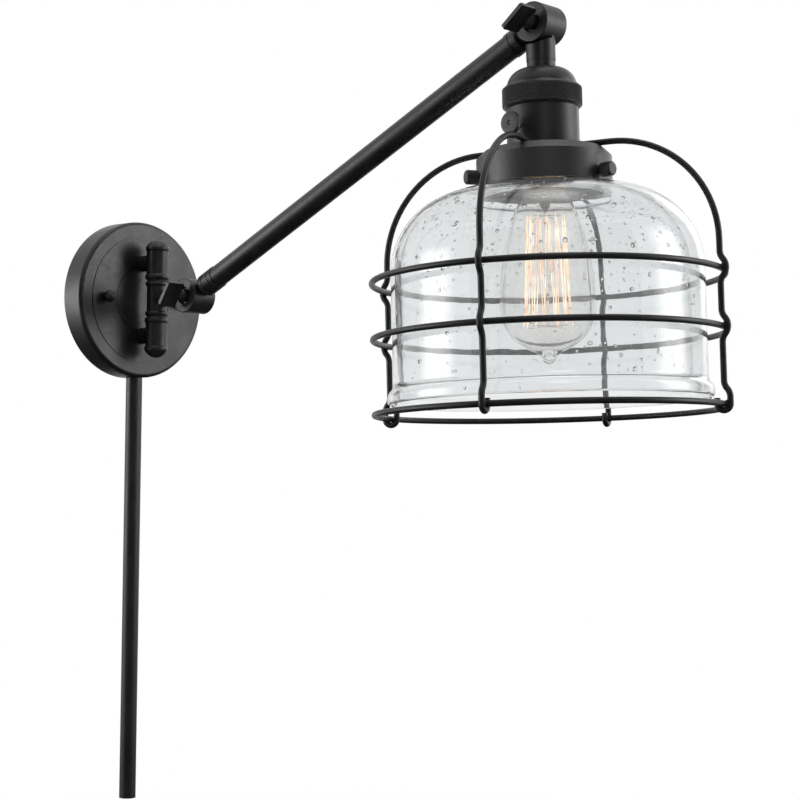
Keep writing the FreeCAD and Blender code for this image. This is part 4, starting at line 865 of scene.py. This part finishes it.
def ridgeTree(inputs):
    tree, given = newTree("ridgeTree", inputs)
    number = addNode(tree, "GeometryNodeInputIndex").outputs[0]
    dots = addNode(tree, "GeometryNodePoints", {"Count": given["Ridges"]})
    angle = calc(tree, "MULTIPLY", number, calc(tree, "DIVIDE", 2 * math.pi, given["Ridges"]))
    length = calc(tree, "SUBTRACT", given["End"], given["Start"])
    middle = calc(tree, "ADD", given["Start"], calc(tree, "MULTIPLY", length, 0.5))
    spot = setAround(tree, given["Radius"], angle, middle)
    placed = addNode(tree, "GeometryNodeSetPosition", {"Geometry": dots.outputs[0], "Position": spot})
    turn = addNode(tree, "ShaderNodeCombineXYZ", {"Z": angle})
    # A ridge is a six-sided bar that lies along the axis with its inner half in the metal.
    bar = addNode(tree, "GeometryNodeMeshCylinder", {"Vertices": 6, "Radius": 1.0, "Depth": 1.0}, fill_type="NGON")
    halfStep = calc(tree, "DIVIDE", calc(tree, "MULTIPLY", given["Radius"], math.pi), given["Ridges"])
    width = calc(tree, "MULTIPLY", halfStep, given["Width"])
    size = addNode(tree, "ShaderNodeCombineXYZ", {"X": given["Depth"], "Y": width, "Z": length})
    bars = addNode(tree, "GeometryNodeInstanceOnPoints", {
        "Points": placed.outputs[0], "Instance": bar.outputs[0], "Rotation": turn.outputs[0], "Scale": size.outputs[0],
    })
    join = addNode(tree, "GeometryNodeJoinGeometry", {0: given["Geometry"]})
    tree.links.new(bars.outputs[0], join.inputs[0])
    endTree(tree, join.outputs[0], given["Finish"])
    return tree


# Turned pieces that stand out sideways: the local Z axis points away from the head's middle.
ridge = {"width": 0.85, "sunk": 0.8}
keyPlace = {
    "reach": 34.0, "drop": 68.0, "knobRadius": 7.0, "knobThick": 3.4, "shaft": 2.0, "inner": 11.1,
    "collarStart": 23.05, "collarLength": 4.0, "collarSwell": 1.2, "dimple": (1.6, 1.1, 0.35), "border": 0.35,
    "ridges": 44, "ridgeDepth": 0.28, "segments": 88,
}
thumb = {
    "drop": 100.0, "angles": (90, 210, 330), "tip": 38.55, "shank": 2.0, "head": 44.4, "headRadius": 4.5,
    "edge": 0.6, "end": 53.0, "border": 0.2, "ridges": 34, "ridgeDepth": 0.2, "segments": 68,
}


def sideways(angle, drop):
    # The frame of a piece that points out from the head's axis at that angle.
    return headFrame @ Matrix.Translation((0, 0, drop)) @ Matrix.Rotation(math.radians(angle), 4, "Z") \
        @ Matrix.Rotation(math.radians(90), 4, "Y")


def buildKey():
    k = keyPlace
    start = k["collarStart"]
    swell = (k["collarLength"] ** 2 / 4 + k["collarSwell"] ** 2) / (2 * k["collarSwell"])
    knobRadius = k["knobRadius"] - k["ridgeDepth"] * ridge["sunk"]
    back = k["reach"] - k["knobThick"]
    dimpleRadius, floorRadius, dimpleDepth = k["dimple"]
    profile = outline([
        (0, k["inner"]), (k["shaft"], k["inner"]), (k["shaft"], start, -swell), (k["shaft"], start + k["collarLength"]),
        (k["shaft"], back), (knobRadius, back), (knobRadius, k["reach"]), (dimpleRadius, k["reach"]),
        (floorRadius, k["reach"] - dimpleDepth), (0, k["reach"] - dimpleDepth),
    ], step=12, soften=0.3, closed=False)
    piece = grow("turn_key", turnedMesh("key", profile, k["segments"], closed=False), ridgeTree, {
        "Radius": knobRadius, "Start": back + k["border"], "End": k["reach"] - k["border"], "Ridges": k["ridges"],
        "Depth": k["ridgeDepth"], "Width": ridge["width"], "Finish": blackScrews,
    }, sideways(180, k["drop"]))
    piece.data.set_sharp_from_angle(angle=math.radians(35))
    dress(piece, "key", "black_screws", "switch_key")


def buildThumbScrews():
    t = thumb
    edge = t["edge"]
    border = edge + t["border"]
    radius = t["headRadius"] - t["ridgeDepth"] * ridge["sunk"]
    profile = outline([
        (0, t["tip"]), (t["shank"], t["tip"]), (t["shank"], t["head"]), (radius - edge, t["head"]),
        (radius, t["head"] + edge), (radius, t["end"] - edge), (radius - edge, t["end"]), (0, t["end"]),
    ], soften=0.2, closed=False)
    for number, angle in enumerate(t["angles"], start=1):
        mesh = turnedMesh("thumb", profile, t["segments"], closed=False)
        piece = grow(f"thumb_screw_{number}_knurled", mesh, ridgeTree, {
            "Radius": radius, "Start": t["head"] + border, "End": t["end"] - border, "Ridges": t["ridges"],
            "Depth": t["ridgeDepth"], "Width": ridge["width"], "Finish": blackScrews,
        }, sideways(angle, t["drop"]))
        piece.data.set_sharp_from_angle(angle=math.radians(35))
        dress(piece, f"thumb_{number}", "black_screws", f"thumb_screw_{number}")


buildKnurledRing()
buildKey()
buildThumbScrews()
print("knurled pieces made")


# Finishes of the CAD nodes that stay.
slotFinish = {
    blackPlate: ("backplate",),
    blackArm: (
        "ball_nuts", "upper_post", "lower_post", "upper_barrel_sleeve", "lower_barrel_sleeve", "end_caps",
        "cord_cover", "centre_sleeve", "swing_knuckle", "arm_lower_knuckle", "arm_upper_knuckle", "lower_ferrule",
        "upper_ferrule", "arm_tube", "head_knuckle", "neck_collar",
    ),
    blackScrews: ("lower_wing_screw", "upper_wing_screw"),
    blackSocket: ("socket_cap", "socket_shell"),
    blackHolder: ("shade_holder", "holder_nut"),
    zincPlate: ("cross_bracket", "canopy_studs", "post_washers", "post_nuts", "hinge_pin", "cover_clip", "nipple",
                "nipple_nut"),
    brass: ("ground_screw", "screw_shell", "centre_contact", "bulb_contact"),
    darkWasher: ("thrust_washers", "lower_friction_washer", "upper_friction_washer"),
    washerFibre: ("socket_liner",),
    sleevePlastic: ("cover_sleeve", "socket_insulator", "bulb_insulator"),
    leadRubber: ("arm_leads",),
}
for material, names in slotFinish.items():
    for name in names:
        mesh = nodes[name].data
        if not mesh.materials:
            mesh.materials.append(material)
        for index in range(len(mesh.materials)):
            mesh.materials[index] = material
bare = [n for n, o in nodes.items() if not o.hide_render and n not in sum(slotFinish.values(), ())]
print("nodes dressed, without a finish:", bare)


# Stage, light and camera.
stageLook = {
    "middle": (0, -250), "floorDrop": -620, "floorRadius": 5000, "corners": 72, "floorColour": (0.78, 0.78, 0.78),
    "lift": 0.22, "fadeFrom": 0.7, "fadeTo": 1.5, "skyLight": 0.6, "skySeen": 1.0,
}


def seenRay(tree):
    # 1 for a ray from the camera, straight or by way of gloss and glass, and 0 for one that lights the lamp.
    path = addNode(tree, "ShaderNodeLightPath").outputs
    byWay = calc(tree, "MAXIMUM", path["Is Glossy Ray"], path["Is Transmission Ray"])
    return calc(tree, "MAXIMUM", path["Is Camera Ray"], byWay)


def roundRim(middle, radius, height, corners):
    x, y = middle
    turns = [2 * math.pi * k / corners for k in range(corners)]
    return [Vector((x + radius * math.cos(a), y + radius * math.sin(a), height)) * mm for a in turns]


def buildFloor():
    s = stageLook
    mesh = bpy.data.meshes.new("studio_floor")
    mesh.from_pydata(roundRim(s["middle"], s["floorRadius"], s["floorDrop"], s["corners"]), [],
                     [list(range(s["corners"]))])
    floor = makeObject("studio_floor", mesh)
    material, tree, out, place = newMaterial("studioFloor")
    seen = seenRay(tree)
    flat = addNode(tree, "ShaderNodeBsdfDiffuse", {"Color": (*s["floorColour"], 1)})
    lift = addNode(tree, "ShaderNodeEmission", {"Strength": calc(tree, "MULTIPLY", seen, s["lift"])})
    near = addNode(tree, "ShaderNodeAddShader", {0: flat.outputs[0], 1: lift.outputs[0]})
    plain = addNode(tree, "ShaderNodeEmission", {"Strength": 1.0})
    # Away from the lamp the floor turns to the plain white of the background.
    centre = Vector((*s["middle"], s["floorDrop"])) * mm
    gap = addNode(tree, "ShaderNodeVectorMath", {0: place, 1: centre}, operation="DISTANCE")
    away = spread(tree, gap.outputs["Value"], 0.0, 1.0, s["fadeFrom"], s["fadeTo"])
    fade = addNode(tree, "ShaderNodeMixShader", {
        0: calc(tree, "MULTIPLY", away, seen), 1: near.outputs[0], 2: plain.outputs[0],
    })
    tree.links.new(fade.outputs[0], out.inputs["Surface"])
    mesh.materials.append(material)


def buildWorld():
    world = bpy.data.worlds.new("studio")
    bpy.context.scene.world = world
    world.use_nodes = True
    tree = world.node_tree
    tree.nodes.clear()
    strength = spread(tree, seenRay(tree), stageLook["skyLight"], stageLook["skySeen"])
    sky = addNode(tree, "ShaderNodeBackground", {"Color": (1, 1, 1, 1), "Strength": strength})
    addNode(tree, "ShaderNodeOutputWorld", {"Surface": sky.outputs[0]})


# The softboxes stand where the plate, the discs and the tubes mirror them to the camera. Powers are in watts.
lamps = {
    "key_softbox": {"at": (-1250, -1650, 950), "size": (900, 1300), "power": 10},
    "right_softbox": {"at": (1350, -1810, 520), "size": (1400, 1700), "power": 43},
    "edge_softbox": {"at": (1900, -150, 700), "size": (900, 1600), "power": 10},
    "left_softbox": {"at": (-1220, 1000, 60), "size": (1400, 1250), "power": 33},
    "top_softbox": {"at": (100, -400, 1700), "size": (900, 900), "power": 9},
}
lampSetting = {"aim": (0, -300, 50), "edgeFade": 0.38}


def fadeEdges(light, share):
    # A softbox glows less towards its edges, so that its mirror image has no hard border.
    light.use_nodes = True
    tree = light.node_tree
    tree.nodes.clear()
    spot = addNode(tree, "ShaderNodeSeparateXYZ", {0: addNode(tree, "ShaderNodeNewGeometry").outputs["Parametric"]})
    glow = 1.0
    for axis in ("X", "Y"):
        inner = calc(tree, "MINIMUM", spot.outputs[axis], calc(tree, "SUBTRACT", 1.0, spot.outputs[axis]))
        slope = addNode(tree, "ShaderNodeMapRange", {
            "Value": inner, "From Max": share,
        }, interpolation_type="SMOOTHSTEP")
        glow = calc(tree, "MULTIPLY", glow, slope.outputs["Result"])
    lit = addNode(tree, "ShaderNodeEmission", {"Color": (1, 1, 1, 1), "Strength": glow})
    addNode(tree, "ShaderNodeOutputLight", {"Surface": lit.outputs[0]})


def buildLamps():
    aim = Vector(lampSetting["aim"]) * mm
    for name, look in lamps.items():
        light = bpy.data.lights.new(name, "AREA")
        light.shape = "RECTANGLE"
        light.size, light.size_y = (side * mm for side in look["size"])
        light.energy = look["power"]
        fadeEdges(light, lampSetting["edgeFade"])
        lamp = makeObject(name, light)
        lamp.location = Vector(look["at"]) * mm
        lamp.rotation_euler = (aim - lamp.location).to_track_quat("-Z", "Y").to_euler()
        lamp.visible_camera = lamp.visible_transmission = False


# Dark flags shape what the black paint mirrors: one behind the camera, one under the lamp.
flags = {
    "middle": (0, -250), "radius": 2300, "from": 165, "to": 285, "panels": 24, "low": -550, "high": 1900,
    "underRadius": 1500, "underAt": -560, "underCorners": 36, "tone": (0.04, 0.04, 0.042),
}


def buildFlags():
    f = flags
    x, y = f["middle"]
    points = []
    for k in range(f["panels"] + 1):
        angle = math.radians(f["from"] + (f["to"] - f["from"]) * k / f["panels"])
        for z in (f["low"], f["high"]):
            points.append(Vector((x + f["radius"] * math.cos(angle), y + f["radius"] * math.sin(angle), z)) * mm)
    faces = [(2 * k, 2 * k + 2, 2 * k + 3, 2 * k + 1) for k in range(f["panels"])]
    faces.append(tuple(range(len(points), len(points) + f["underCorners"])))
    points += roundRim(f["middle"], f["underRadius"], f["underAt"], f["underCorners"])
    mesh = bpy.data.meshes.new("studio_flags")
    mesh.from_pydata(points, [], faces)
    material, tree, out, place = newMaterial("studioFlag")
    cloth = addNode(tree, "ShaderNodeBsdfDiffuse", {"Color": (*f["tone"], 1)})
    tree.links.new(cloth.outputs[0], out.inputs["Surface"])
    mesh.materials.append(material)
    flag = makeObject("studio_flags", mesh)
    flag.visible_camera = flag.visible_diffuse = flag.visible_transmission = flag.visible_shadow = False


view = {
    "at": (-908.49, -1117.09, -118.28), "azimuth": -47.70, "pitch": 1.75, "roll": 0.69, "lens": 82.06,
    "sensor": 36, "clip": (0.05, 50),
}


def buildCamera():
    camera = bpy.data.cameras.new("photo_camera")
    camera.lens = view["lens"]
    camera.sensor_width = view["sensor"]
    camera.clip_start, camera.clip_end = view["clip"]
    turn, pitch, roll = (math.radians(view[key]) for key in ("azimuth", "pitch", "roll"))
    back = Vector((math.sin(turn), -math.cos(turn), 0))
    right = Vector((math.cos(turn), math.sin(turn), 0))
    up = Vector((0, 0, 1))
    forward = -back * math.cos(pitch) + up * math.sin(pitch)
    upward = up * math.cos(pitch) + back * math.sin(pitch)
    across = right * math.cos(roll) + upward * math.sin(roll)
    high = -right * math.sin(roll) + upward * math.cos(roll)
    cameraObject = makeObject("photo_camera", camera)
    cameraObject.matrix_world = Matrix.Translation(Vector(view["at"]) * mm) @ Matrix((
        (across.x, high.x, -forward.x, 0), (across.y, high.y, -forward.y, 0),
        (across.z, high.z, -forward.z, 0), (0, 0, 0, 1),
    ))
    bpy.context.scene.camera = cameraObject


buildFloor()
buildWorld()
buildLamps()
buildFlags()
buildCamera()
bpy.context.scene.view_settings.view_transform = "Standard"
print("stage made")
